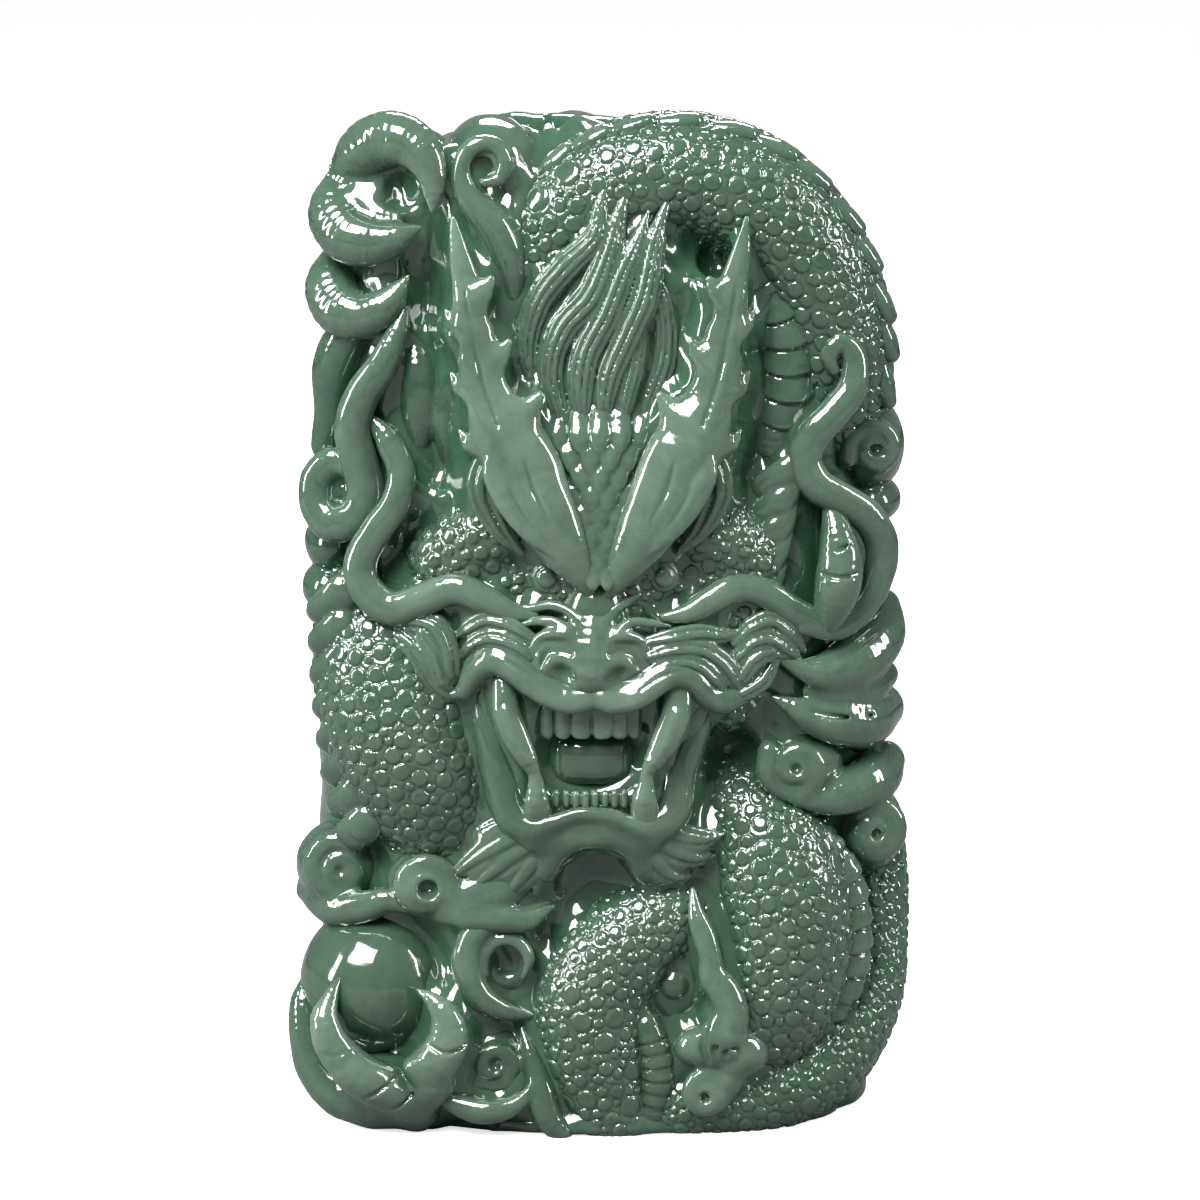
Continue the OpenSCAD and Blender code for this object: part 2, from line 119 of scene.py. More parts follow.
class Clay:
    """One carved element: steps that add and cut shapes, run on a grid."""

    def __init__(self, cell=CELL, seat=None):
        self.cell = cell
        self.seat = seat
        self.steps = []
        self.low = np.full(3, 1e9)
        self.high = np.full(3, -1e9)

    def grow(self, low, high):
        """Widens the grid so that it holds this box."""
        self.low = np.minimum(self.low, low)
        self.high = np.maximum(self.high, high)

    def window(self, low, high):
        """The part of the grid inside a box, with its x, y and z coordinates."""
        spans, grids = [], []
        for i in range(3):
            first = max(0, int((low[i] - self.low[i]) / self.cell))
            last = min(self.shape[i], int((high[i] - self.low[i]) / self.cell) + 2)
            spans.append(slice(first, max(first, last)))
            values = self.low[i] + self.cell * np.arange(first, max(first, last))
            shape = [1, 1, 1]
            shape[i] = -1
            grids.append(values.astype(np.float32).reshape(shape))
        return tuple(spans), grids

    def strand(self, points, flat=1.0, blend=0.35, detail=None, cut=False, step=0.45):
        """A tapering rod along a smooth route of (x, y, z, radius)."""
        line, along, turn = spline(points, step)
        widest = line[:, 3].max()
        low = line[:, :3].min(0) - widest - SKIN
        high = line[:, :3].max(0) + widest + SKIN
        if not cut:
            self.grow(low, high)

        def run():
            spans, grids = self.window(low - self.cell, high + self.cell)
            shape = tuple(s.stop - s.start for s in spans)
            if min(shape) < 1:
                return
            near = np.full(shape, FAR, np.float32)
            marks = None
            if detail:
                marks = {k: np.zeros(shape, np.float32) for k in ("along", "turn", "side", "up", "r")}
            for i in range(len(line) - 1):
                a, b = line[i], line[i + 1]
                reach = max(a[3], b[3]) + SKIN
                box_low = np.minimum(a[:3], b[:3]) - reach
                box_high = np.maximum(a[:3], b[:3]) + reach
                sub, (x, y, z) = self.window(box_low, box_high)
                local = tuple(slice(s.start - w.start, s.stop - w.start) for s, w in zip(sub, spans))
                ab = b[:3] - a[:3]
                size = max(float(ab @ ab), 1e-9)
                tangent = ab / math.sqrt(size)
                across = np.cross(tangent, (0.0, -1.0, 0.0))
                if np.linalg.norm(across) < 1e-3:
                    across = np.array((1.0, 0.0, 0.0))
                across /= np.linalg.norm(across)
                front = np.cross(across, tangent)
                dx, dy, dz = x - a[0], y - a[1], z - a[2]
                t = np.clip((dx * ab[0] + dy * ab[1] + dz * ab[2]) / size, 0.0, 1.0)
                dx, dy, dz = dx - t * ab[0], dy - t * ab[1], dz - t * ab[2]
                side = dx * across[0] + dy * across[1] + dz * across[2]
                up = dx * front[0] + dy * front[1] + dz * front[2]
                radius = a[3] + (b[3] - a[3]) * t
                squared = dx * dx + dy * dy + dz * dz
                if flat == 1.0:
                    distance = np.sqrt(squared) - radius
                else:
                    rest = squared - up * up
                    stretched = np.sqrt(rest + (up / flat) ** 2) + 1e-6
                    slope = np.sqrt(rest + (up / flat ** 2) ** 2) + 1e-6
                    distance = (stretched - radius) * stretched / slope
                closer = distance < near[local]
                near[local] = np.where(closer, distance, near[local])
                if detail:
                    fresh = {
                        "along": along[i] + (along[i + 1] - along[i]) * t,
                        "turn": turn[i] + (turn[i + 1] - turn[i]) * t,
                        "side": side / radius, "up": up / (radius * flat), "r": radius,
                    }
                    for key, values in fresh.items():
                        marks[key][local] = np.where(closer, values, marks[key][local])
            if detail:
                skin = np.abs(near) < 0.8
                picked = {k: v[skin] for k, v in marks.items()}
                near[skin] -= detail(**picked).astype(np.float32)
            if cut:
                self.field[spans] = smooth_max(self.field[spans], -near, blend)
            else:
                self.field[spans] = smooth_min(self.field[spans], near, blend)

        self.steps.append(run)
        return self

    def groove(self, points, blend=0.12):
        """Cuts a thin line along a route."""
        return self.strand(points, cut=True, blend=blend, step=0.3)

    def ball(self, center, radii, blend=0.35, tilt=0.0, cut=False, detail=None):
        """An ellipsoid; tilt turns it about Y, in degrees."""
        c = np.array(center, float)
        r = np.array(radii if np.ndim(radii) else (radii, radii, radii), float)
        reach = r.max() + SKIN
        if not cut:
            self.grow(c - reach, c + reach)

        def run():
            spans, (x, y, z) = self.window(c - reach, c + reach)
            if min(s.stop - s.start for s in spans) < 1:
                return
            dx, dy, dz = x - c[0], y - c[1], z - c[2]
            cs, sn = math.cos(math.radians(tilt)), math.sin(math.radians(tilt))
            u, w = dx * cs + dz * sn, -dx * sn + dz * cs
            stretched = np.sqrt((u / r[0]) ** 2 + (dy / r[1]) ** 2 + (w / r[2]) ** 2) + 1e-6
            slope = np.sqrt((u / r[0] ** 2) ** 2 + (dy / r[1] ** 2) ** 2 + (w / r[2] ** 2) ** 2) + 1e-6
            distance = np.clip((stretched - 1.0) * stretched / slope, -FAR, FAR)
            if detail:
                distance = distance - detail(u + 0 * distance, dy + 0 * distance, w + 0 * distance)
            if cut:
                self.field[spans] = smooth_max(self.field[spans], -distance, blend)
            else:
                self.field[spans] = smooth_min(self.field[spans], distance, blend)

        self.steps.append(run)
        return self

    def pit(self, center, radii, blend=0.2, tilt=0.0):
        """Cuts an ellipsoid out."""
        return self.ball(center, radii, blend=blend, tilt=tilt, cut=True)

    def shape_with(self, low, high, distance_at, blend=0.3, cut=False):
        """Adds or cuts any shape given by a function of x, y and z."""
        if not cut:
            self.grow(np.array(low, float), np.array(high, float))

        def run():
            spans, (x, y, z) = self.window(low, high)
            distance = distance_at(x, y, z)
            if cut:
                self.field[spans] = smooth_max(self.field[spans], -distance, blend)
            else:
                self.field[spans] = smooth_min(self.field[spans], distance, blend)

        self.steps.append(run)
        return self

    def rings(self, seed, sizes, dome=0.08, cut=0.12, line=0.06):
        """Drilled ring scales scattered over the surface that the steps so far
        have made: circles of each size in turn, packed without overlap."""

        def run():
            spans, (x, y, z) = self.window(self.low, self.high)
            block = self.field[spans]
            at = np.argwhere(np.abs(block) < 0.6 * self.cell)
            spots = np.column_stack([x.ravel()[at[:, 0]], y.ravel()[at[:, 1]], z.ravel()[at[:, 2]]])
            if self.seat is not None:
                spots = spots[spots[:, 1] < self.seat - 0.5]
            rng = np.random.default_rng(seed)
            spots = spots[rng.permutation(len(spots))]
            taken = np.full(len(spots), 9.0)
            for radius, tries in sizes:
                for _ in range(tries):
                    free = np.flatnonzero(taken > radius * 0.97)
                    if len(free) == 0:
                        break
                    near = free[:40]
                    pick = near[np.argmin(taken[near])]
                    center = spots[pick]
                    taken = np.minimum(taken, np.linalg.norm(spots - center, axis=1) - radius)
                    reach = radius + 3 * line
                    sub, (u, v, w) = self.window(center - reach, center + reach)
                    rho = np.sqrt((u - center[0]) ** 2 + (v - center[1]) ** 2 + (w - center[2]) ** 2)
                    swell = dome * np.clip(1.15 - (rho / radius) ** 4, 0, 1)
                    swell -= cut * np.exp(-((rho - radius) / line) ** 2)
                    self.field[sub] -= swell.astype(np.float32)

        self.steps.append(run)
        return self

    def skin(self):
        """Runs the steps and returns the surface as vertices and quads."""
        margin = 3 * self.cell
        self.low = self.low - margin
        self.shape = [int(math.ceil((h + margin - l) / self.cell)) + 1
                      for l, h in zip(self.low, self.high)]
        self.field = np.full(self.shape, FAR, np.float32)
        for step in self.steps:
            step()
        x, y, z = self.window(self.low - 1, self.high + 9)[1]
        self.field -= 0.035 * np.sin(1.9 * x + 0.7 * z) * np.sin(1.7 * z
                                                                 + 0.8 * y) * np.cos(1.3 * y - 0.4 * x)
        if self.seat is not None:
            self.field = smooth_max(self.field, y - self.seat + 0 * self.field, 0.3)
        self.field = np.maximum(self.field, -z + 0 * self.field)
        grid = openvdb.FloatGrid(FAR)
        grid.copyFromArray(np.clip(self.field, -FAR, FAR))
        points, quads = grid.convertToQuads(isovalue=0.0)
        self.field = None
        return points * self.cell + self.low, quads


# ------------------------------------------------------------ surface detail
# Ring scales: (radius, how many to try), the largest first.
SCALES = ((1.02, 14), (0.66, 240), (0.52, 360), (0.37, 400))
SMALL_SCALES = ((0.8, 10), (0.54, 260), (0.42, 360), (0.3, 300))


def hair_lines(count, depth=0.2, waves=0.0):
    """Fine V-shaped grooves that run along a lock of hair."""

    def bump(along, turn, side, up, r):
        angle = np.arctan2(side, up) / math.pi + waves * np.sin(along * 0.8)
        ridge = np.abs(np.sin(math.pi * count * (angle + 0.5)))
        return -depth * np.clip(r, 0.2, 1.2) * (1.0 - ridge) ** 2 * (up > -0.4)

    return bump


def cross_plates(pitch, height=0.22, groove=0.25, slant=0.0):
    """Overlapping plates across a belly or a back."""

    def bump(along, turn, side, up, r):
        place = along / pitch + slant * side * side
        saw = place - np.floor(place)
        return height * (saw - 0.5) - groove * np.exp(-((saw - 1.0) * pitch / 0.12) ** 2) \
            - groove * np.exp(-(saw * pitch / 0.12) ** 2)

    return bump


def curl(center, start, turns, outer, inner, width, thin=0.6, rise=0.0, count=11):
    """Points of a spiral in the front plane, from the outside to its eye."""
    route = []
    for i in range(count):
        t = i / (count - 1)
        angle = math.radians(start + 360 * turns * t)
        reach = outer + (inner - outer) * t
        route.append((center[0] + reach * math.cos(angle), center[1] - rise * t,
                      center[2] + reach * math.sin(angle), width * (1 - (1 - thin) * t)))
    return route


def sided(sign, points):
    """A route drawn for the left side; sign -1 mirrors it to the right."""
    return [(sign * p[0],) + tuple(p[1:]) for p in points]


# ------------------------------------------------------------------ the stone
def bowed_plan(x, y, half_w, front, side_y):
    """Distance to the plan of the stone: flat back and bowed front."""
    rise = side_y + front
    bow = (half_w ** 2 + rise ** 2) / (2 * rise)
    arc = np.sqrt(x * x + (y - (bow - front)) ** 2) - bow
    arc = np.where(y > bow - front, np.abs(x) - bow, arc)
    return smooth_max(smooth_max(arc, np.abs(x) - half_w, 1.5), y - BACK_Y, 2.0)


def stone_core(ground):
    """The stone behind everything; its front hugs the carved elements."""
    clay = Clay(cell=max(CELL, 0.17))
    outline = spline([
        (-17.5, 0, 0, 0), (-20.3, 6, 0, 0), (-20.6, 20, 0, 0), (-20.1, 32, 0, 0), (-19.6, 44, 0, 0),
        (-18.8, 54, 0, 0), (-17.8, 62, 0, 0), (-14.4, 68, 0, 0), (-7, 71, 0, 0), (1, 71.6, 0, 0),
        (9, 70.8, 0, 0), (15.4, 67, 0, 0), (18.4, 60, 0, 0), (19.4, 50, 0, 0), (20, 40, 0, 0),
        (20.5, 28, 0, 0), (20.6, 14, 0, 0), (19.6, 5, 0, 0), (16.5, 0, 0, 0)
    ], 1.0)[0][:, :2]

    def block(x, y, z):
        u, w = x[:, 0, :], z[0, 0, :][None, :]
        u, w = np.broadcast_arrays(u, w)
        edge = np.full(u.shape, 1e9)
        inside = np.zeros(u.shape, bool)
        for a, b in zip(outline, np.roll(outline, -1, axis=0)):
            ab = b - a
            t = np.clip(((u - a[0]) * ab[0] + (w - a[1]) * ab[1]) / (ab @ ab), 0, 1)
            edge = np.minimum(edge, np.hypot(u - a[0] - t * ab[0], w - a[1] - t * ab[1]))
            crosses = (a[1] > w) != (b[1] > w)
            span = b[1] - a[1] if abs(b[1] - a[1]) > 1e-9 else 1e-9
            inside ^= crosses & (u < (b[0] - a[0]) * (w - a[1]) / span + a[0])
        edge = np.where(inside, -edge, edge)
        front = np.clip(ground(u, w) + GROUND_DROP, -6.6, 3.0)
        front = front + 0.22 * np.sin(2.3 * u + 1.1 * np.sin(0.9 * w)) * np.cos(0.8 * w + 0.5 * u)
        waves = 0.35 * np.sin(0.9 * z + 0.5 * x) * np.sin(0.8 * x - 0.3 * z)
        body = smooth_max(edge[:, None, :] - 0.5 - waves, 0.75 * (front[:, None, :] - y), 1.6)
        body = smooth_max(body, bowed_plan(x, y, 20.6, 9.0, 3.0), 1.5)
        crown = y - BACK_Y + 0.9 * (x / 20) ** 2 + 0.5 * ((z - 34) / 38) ** 2
        body = smooth_max(body, crown, 4.5)
        return body.astype(np.float32)

    clay.shape_with((-22, -8, -0.5), (22, 11, 73), block)
    clay.pit((-0.4, -5.0, 18.4), (2.8, 1.3, 2.6), blend=0.8)
    clay.pit((-0.6, -7.0, 27.6), (4.2, 2.4, 3.1), blend=0.5)
    clay.pit((8.2, -3.5, 62.6), (1.4, 2.2, 1.9), blend=0.5)
    clay.pit((7.4, -3.5, 58.4), (1.2, 2.0, 2.2), blend=0.5)
    clay.pit((9.4, -4.2, 27.2), (1.3, 2.0, 2.8), tilt=20, blend=0.5)
    return clay


def stone_foot():
    """The plain polished band that the stone stands on."""
    clay = Clay(cell=max(CELL, 0.2))

    def slab(x, y, z):
        plan = bowed_plan(x, y, 19.6, 6.4, 3.4)
        top = z - 2.2 - 0.5 * np.sin(0.55 * x + 1.0) - 0.35 * (y + 5)
        return smooth_max(smooth_max(plan, top, 2.2), -z, 0.9).astype(np.float32)

    clay.shape_with((-21, -9, -0.5), (21, 11, 6), slab)
    return clay


# -------------------------------------------------------------- top elements
def rear_cloud():
    """The cloud bank behind the top edge."""
    clay = Clay(seat=6)
    clay.strand([(-9, 3, 68.6, 2.2), (-6.5, 2, 70.6, 1.9), (-4.6, 1.6, 70.9, 1.6), (-3, 2, 71, 1.5),
                 (-1, 2.4, 70.8, 1.6), (2, 3, 70, 2)], blend=0.6)
    clay.groove([(-3.8, -0.6, 69.5, 0.25), (-3.6, 0, 71, 0.25), (-3.8, 2, 72.8, 0.3)])
    return clay


def top_scroll():
    """The cloud at the top that winds into a spiral eye."""
    clay = Clay(seat=5)
    clay.ball((-7.5, -0.4, 69.6), (3.3, 4.0, 3.0), tilt=-20)
    clay.strand([
        (-6.2, -3, 57.6, 0.3), (-6, -3.6, 60, 0.95), (-6.3, -4, 62.6, 1.3), (-7.4, -4.3, 65.2, 1.35),
        (-9, -4.3, 67, 1.0), (-9.7, -4.2, 68.8, 0.75), (-9, -4.2, 70.6, 0.65), (-7.5, -4.2, 70.9, 0.6),
        (-6.6, -4.2, 69.8, 0.6), (-7, -4.3, 68.5, 0.55), (-8, -4.5, 68.3, 0.4)
    ], blend=0.2)
    clay.strand([(-6.2, -3.2, 62.6, 1.2), (-5.7, -2.8, 65.2, 1.5), (-5.5, -2.2, 67.8, 1.6)], blend=0.9)
    clay.pit((-8.2, -4.6, 69.3), (0.75, 1.6, 0.7), blend=0.3)
    clay.groove([(-6.7, -4.6, 59.4, 0.06), (-6.6, -5.3, 62.2, 0.14), (-7.8, -5.7, 65, 0.14),
                 (-9.3, -5.4, 67, 0.06)])
    return clay


def upper_claw():
    """Three hooked digits with ringed knuckles around a hollow palm."""
    clay = Clay(seat=6)
    clay.ball((-13.8, 1.2, 65.4), (5.4, 4.4, 6.4))
    knuckles = cross_plates(0.55, 0.03, 0.06)
    clay.strand([
        (-17.4, 0, 68.2, 1.7), (-16.4, -1.6, 70.2, 2.0), (-14.6, -2.8, 71.1, 2.0),
        (-12.9, -3.6, 70.6, 1.75),
        (-11.9, -4.2, 69.2, 1.3), (-11.6, -4.5, 67.8, 0.85), (-11.7, -4.6, 66.2, 0.2)
    ], flat=0.9, detail=knuckles)
    clay.strand([
        (-17.8, 0.2, 67.6, 1.7), (-18.6, -1.4, 65.8, 1.95), (-17.6, -2.6, 64.3, 2.0),
        (-15.9, -3.3, 63.9, 1.7),
        (-14.3, -3.8, 64.3, 1.15), (-12.6, -4.1, 65.0, 0.2)
    ], flat=0.9, detail=knuckles)
    clay.strand([
        (-18, 0.6, 62.4, 1.6), (-18.9, -1, 60.6, 1.9), (-18.2, -2.2, 59.1, 1.95),
        (-16.6, -3.1, 58.7, 1.7),
        (-14.9, -3.6, 59.6, 1.2), (-13.4, -3.8, 61.6, 0.2)
    ], flat=0.9, detail=knuckles)
    clay.strand([(-16.9, -1.6, 67, 1.1), (-15.6, -2.6, 65.9, 0.9), (-14.2, -3.2, 65.9, 0.5)], blend=0.7)
    for k in range(7):
        clay.strand([(-17.2 - 0.25 * k, -1.3, 68.8 - 0.4 * k, 0.7),
                     (-18.7 - 0.2 * k, -0.9, 69.5 - 0.55 * k, 0.2)], blend=0.12)
    clay.pit((-13.9, -3.6, 67.6), (1.5, 1.9, 1.5), blend=0.5)
    return clay


# ------------------------------------------------------------------- the body
ARCH = [
    (-5.6, 2.5, 54, 3.4), (-5.2, 0.6, 58, 4.0), (-4.4, -0.4, 62, 4.3), (-2, -1, 65.6, 4.4),
    (1.6, -1.2, 67.9, 4.4), (6, -1.2, 68.5, 4.4), (10.6, -1, 66.9, 4.5), (14, -0.5, 63.2, 4.6),
    (16, 0, 58.6, 4.5), (16.6, 0.8, 54, 4.2), (16.4, 2, 49, 3.6)
]


def body_arch():
    """The upper body, arched over the head and covered with ring scales."""
    clay = Clay(cell=RING_CELL, seat=3)
    clay.strand(ARCH, step=1.0)
    clay.rings(11, SCALES)
    return clay


def arch_spines():
    """Low plates along the crest of the arch that overlap like roof tiles."""
    clay = Clay(seat=5)
    line, along, _ = spline(ARCH, 0.5)
    center = np.array((6.0, -0.6, 60.0))
    pitch = 2.3
    for k in range(3, int(along[-1] / pitch) - 2):
        i = int(np.searchsorted(along, k * pitch))
        here, ahead = line[i], line[min(i + 4, len(line) - 1)]
        outward = here[:3] - center
        outward[1] = 0
        outward /= np.linalg.norm(outward)
        tangent = ahead[:3] - here[:3]
        tangent /= np.linalg.norm(tangent)
        foot = here[:3] + outward * (here[3] - 0.75) + np.array((0, -1.6, 0))
        tip = foot + outward * 0.4 + tangent * 2.3
        clay.strand([(*foot, 0.62), (*(0.5 * (foot + tip)), 0.8), (*tip, 0.66)], flat=1.3, blend=0.05)
    return clay


def arch_belly():
    """The belly plates on the inner side of the arch."""
    clay = Clay(seat=4)
    clay.strand([
        (9.6, -1.8, 62.8, 1.2), (11.6, -2.4, 61, 1.9), (13, -2.6, 57.5, 2.1), (13.2, -2.4, 54, 2.1),
        (12.6, -2, 50, 2.1), (12, -1.4, 46.5, 1.6)
    ], flat=0.8, detail=cross_plates(1.9, 0.3, 0.2, slant=0.25), step=0.6)
    return clay


def left_coil():
    """The scaled coil beside the jaw, on the left."""
    clay = Clay(cell=RING_CELL, seat=3)
    clay.strand([
        (-15.8, 3, 42, 3), (-16, 0.6, 38, 4.1), (-15.2, -0.9, 33.5, 5.3), (-13.4, -1.2, 28, 6),
        (-11.2, -0.2, 23, 5.2), (-9, 3, 19.5, 4)
    ], step=1.0)
    clay.rings(12, SCALES)
    return clay


def left_coil_spines():
    """Broad plates down the outer edge of the left coil, like roof tiles."""
    clay = Clay(seat=5)
    for k in range(8):
        z = 38.6 - 2.35 * k
        x = -19.2 + 0.035 * k * k
        clay.strand([(x + 1.3, -3.9, z + 1.5, 0.7), (x + 0.7, -3.9, z + 0.2, 1.35),
                     (x - 0.5, -2.8, z - 1.0, 1.25),
                     (x - 1.0, -1.8, z - 1.6, 0.7)], flat=0.45, blend=0.04)
    return clay


def right_coil():
    """The large scaled coil beside the jaw, on the right."""
    clay = Clay(cell=RING_CELL, seat=3)
    clay.strand([
        (7.5, 3, 25, 3), (10.4, -0.4, 22.8, 4.2), (12.8, -2, 18.6, 5), (13.2, -2.2, 13, 5),
        (11.6, -1.6, 8, 4.6), (8.4, 0, 4.6, 3.6), (5, 2, 3.4, 2.6)
    ], step=1.0)
    clay.rings(13, SCALES)
    return clay


def right_coil_plates():
    """The plates along the outer side of the right coil."""
    clay = Clay(seat=5)
    clay.strand([
        (14.6, -3.6, 22.2, 1), (16.8, -3, 19, 1.7), (17.6, -2.6, 15, 1.9), (17.3, -2.4, 11, 1.9),
        (15.8, -2.4, 7.6, 1.5)
    ], flat=0.8, detail=cross_plates(1.7, 0.3, 0.2, slant=0.2), step=0.6)
    return clay


def outer_coil():
    """The coil that follows the lower right edge."""
    clay = Clay(cell=RING_CELL, seat=5)
    clay.strand([
        (18.6, 3.5, 24.5, 1.9), (19.7, 2.2, 20, 2.3), (19.9, 1.6, 14, 2.4), (18.9, 0.6, 8.5, 2.9),
        (15.8, -0.8, 4.4, 3.4), (11, -2.2, 2.4, 3.3), (6, -3.4, 2.0, 2.8)
    ], step=0.8)
    clay.rings(14, SMALL_SCALES)
    return clay


def low_coil():
    """The scaled coil in front that reaches the base."""
    clay = Clay(cell=RING_CELL, seat=2)
    clay.strand([
        (9, 0.5, 15.2, 2.4), (6, -2.4, 15.6, 3.2), (2.4, -3.2, 14, 3.9), (-0.3, -3.4, 10.4, 4.2),
        (-0.4, -3.2, 6.4, 4.2), (0.6, -2.8, 2.6, 3.9), (1.2, -2.4, -0.5, 3.6)
    ], step=0.9)
    clay.rings(15, SMALL_SCALES)
    return clay


def hip():
    """The smooth haunch inside the lowest coil, with one drilled disc on it."""
    clay = Clay(seat=3)
    clay.ball((5.4, -1.6, 11.4), (4.2, 3.9, 5.4))
    clay.strand([(2.6, -5.2, 9.6, 0.7), (3.5, -5.3, 7.6, 1.15), (4.1, -5.2, 5, 1.35),
                 (3.9, -4.8, 2.2, 1.3), (3.4, -4.2, 0.2, 1)],
                detail=cross_plates(0.95, 0.12, 0.14), step=0.5, blend=0.3)
    clay.ball((5.3, -5.2, 10.9), (1.0, 0.6, 1.0), blend=0.1)

    def ring(x, y, z):
        return np.sqrt((np.hypot(x - 5.3, z - 10.9) - 1.15) ** 2 + (y + 5.5) ** 2) - 0.16

    clay.shape_with((3.7, -6.4, 9.3), (6.9, -4.8, 12.5), ring, blend=0.1, cut=True)
    return clay


# ------------------------------------------------------------------- the head
def skull():
    """The mass of the head, behind the features of the face."""
    clay = Clay(seat=3)
    clay.strand([(0, -0.5, 56, 2.5), (0, -2, 51.5, 4.8), (0, -2.6, 45.5, 6.8), (0, -2.6, 39, 7.4),
                 (0, -1.6, 33, 5)],
                flat=0.6, step=1.2)
    clay.rings(16, SCALES)
    return clay


def mane():
    """Broad locks that sweep down from the arch to the brow."""
    clay = Clay(seat=1)
    lock = hair_lines(6, 0.24)
    clay.ball((-0.4, -2.6, 58), (5, 2.2, 8))
    for route in (
        [(0.9, -5.0, 69.2, 0.12), (0.1, -5.5, 67, 0.5), (-0.3, -5.7, 64.6, 0.9),
         (-2.4, -5.6, 62.4, 1.15), (-4.1, -5.2, 60.2, 1.1),
         (-5.0, -4.9, 57.3, 1.0), (-4.8, -4.9, 54.4, 0.5)],
        [(2.1, -5.2, 68.3, 0.12), (1.3, -5.6, 66, 0.6), (0.7, -5.8, 63.6, 1.0),
         (-0.6, -5.9, 60.4, 1.25), (-2.5, -5.6, 58.2, 1.2),
         (-3.4, -5.3, 55.4, 1.1), (-2.9, -5.5, 52.6, 0.9), (-2.2, -5.8, 50.6, 0.3)],
        [(3.4, -5.2, 66.4, 0.12), (2.6, -5.7, 64.2, 0.7), (1.6, -5.9, 62, 1.1), (0.4, -6, 59, 1.2),
         (-0.9, -5.8, 56.4, 1.2),
         (-1.3, -5.7, 53.6, 1.05), (-1.1, -5.9, 50.6, 0.4)],
        [(5.1, -4.8, 68, 0.12), (4.2, -5.4, 65.6, 0.5), (3.7, -5.6, 63.6, 0.95), (3, -5.9, 60.4, 1.2),
         (1.8, -5.9, 57.6, 1.2),
         (0.6, -5.8, 54.6, 1.1), (0.2, -5.9, 50.8, 0.4)],
        [(3.4, -5.3, 62.2, 0.6), (4.5, -5.3, 59.4, 0.95), (4.6, -5.1, 56.2, 1.05),
         (3.6, -5.3, 53.2, 0.9),
         (2.6, -5.7, 50.8, 0.3)],
        [(2.8, -5.5, 58.6, 0.7), (2.5, -5.7, 55.8, 0.9), (1.9, -5.8, 53.2, 0.8), (1.3, -6, 50.8, 0.3)],
    ):
        clay.strand(route, flat=0.8, detail=lock, blend=0.1)
    return clay


HORN = [
    (-0.75, -7.6, 39.7, 0.45), (-1.35, -7.9, 41, 0.95), (-2.7, -8, 43.3, 1.8), (-4.3, -7.8, 46.2, 2.45),
    (-5.6, -7.4, 49, 2.65), (-6.9, -7.1, 51.4, 2.2), (-7.8, -6.9, 53.6, 1.75), (-8.5, -6.7, 56.4, 1.5),
    (-8.9, -6.5, 59.2, 1.3), (-9.4, -6.3, 61.8, 0.95), (-9.9, -6.2, 64, 0.6), (-10.2, -6.2, 65.9, 0.2)
]


def horn(sign):
    """A broad flat horn with stepped prongs; sign 1 is the left one."""
    clay = Clay(seat=-2)

    clay.strand(sided(sign, HORN), flat=0.6, blend=0.5)
    for prong in (
        [(-9.0, -6.4, 60, 0.9), (-8.2, -6.6, 60.8, 0.75), (-7.6, -6.7, 61.7, 0.3)],
        [(-8.2, -6.7, 55.4, 1.2), (-7.2, -6.9, 56.2, 0.85), (-6.4, -7, 57.3, 0.32)],
        [(-6.9, -7, 51.4, 1.7), (-5.4, -7.2, 52.2, 1.15), (-4.2, -7.3, 53.6, 0.36)],
        [(-9.3, -6.4, 58.2, 0.9), (-10.2, -6.3, 58.5, 0.5), (-10.8, -6.2, 59.5, 0.14)],
        [(-8.8, -6.6, 53.9, 1.0), (-9.8, -6.5, 54.1, 0.55), (-10.4, -6.4, 55.1, 0.14)],
        [(-7.9, -6.9, 50.1, 1.2), (-9.1, -6.7, 50.1, 0.6), (-9.8, -6.6, 51.1, 0.14)],
    ):
        clay.strand(sided(sign, prong), flat=0.7, blend=0.7)
    for bite in ((-7.1, 59.4, 0.75), (-5.6, 55.2, 0.95), (-10.5, 56.7, 0.7), (-10, 52.4, 0.75)):
        clay.pit((sign * bite[0], -7, bite[1]), (bite[2], 3, bite[2] * 1.2), blend=0.3)
    clay.strand(sided(sign, [(-7.2, -8.1, 50.4, 0.3), (-7.2, -8.3, 48.4, 1.0), (-6.0, -8.7, 46.2, 1.15),
                             (-4.6, -8.9, 44.2, 0.8),
                     (-3.4, -8.9, 42.7, 0.2)]), flat=0.5, blend=0.06)
    for line in (
        [(-6.9, -9.0, 49.4, 0.12), (-6.3, -9.25, 47.4, 0.26), (-5.2, -9.4, 45.4, 0.24),
         (-4, -9.4, 43.9, 0.1)],
        [(-5.2, -9.0, 49.2, 0.12), (-4.5, -9.3, 47.0, 0.26), (-3.5, -9.3, 45.0, 0.1)],
        [(-9.6, -6.9, 62, 0.1), (-9.0, -7.5, 58.4, 0.2), (-8.1, -7.9, 54.4, 0.22),
         (-7.1, -8.4, 51.6, 0.1)],
    ):
        clay.groove(sided(sign, line))
    return clay


def ear(sign):
    """A cupped leaf-shaped ear that lies against the horn."""
    clay = Clay(seat=-1)

    clay.strand(sided(sign, [(-5.2, -6.2, 50.4, 0.4), (-7, -6.6, 49.2, 1.5), (-7.9, -6.8, 47, 1.5),
                             (-7.0, -7, 44.4, 0.95),
                     (-5.4, -7.1, 42.4, 0.2)]), flat=0.7, detail=hair_lines(4, 0.34))
    return clay


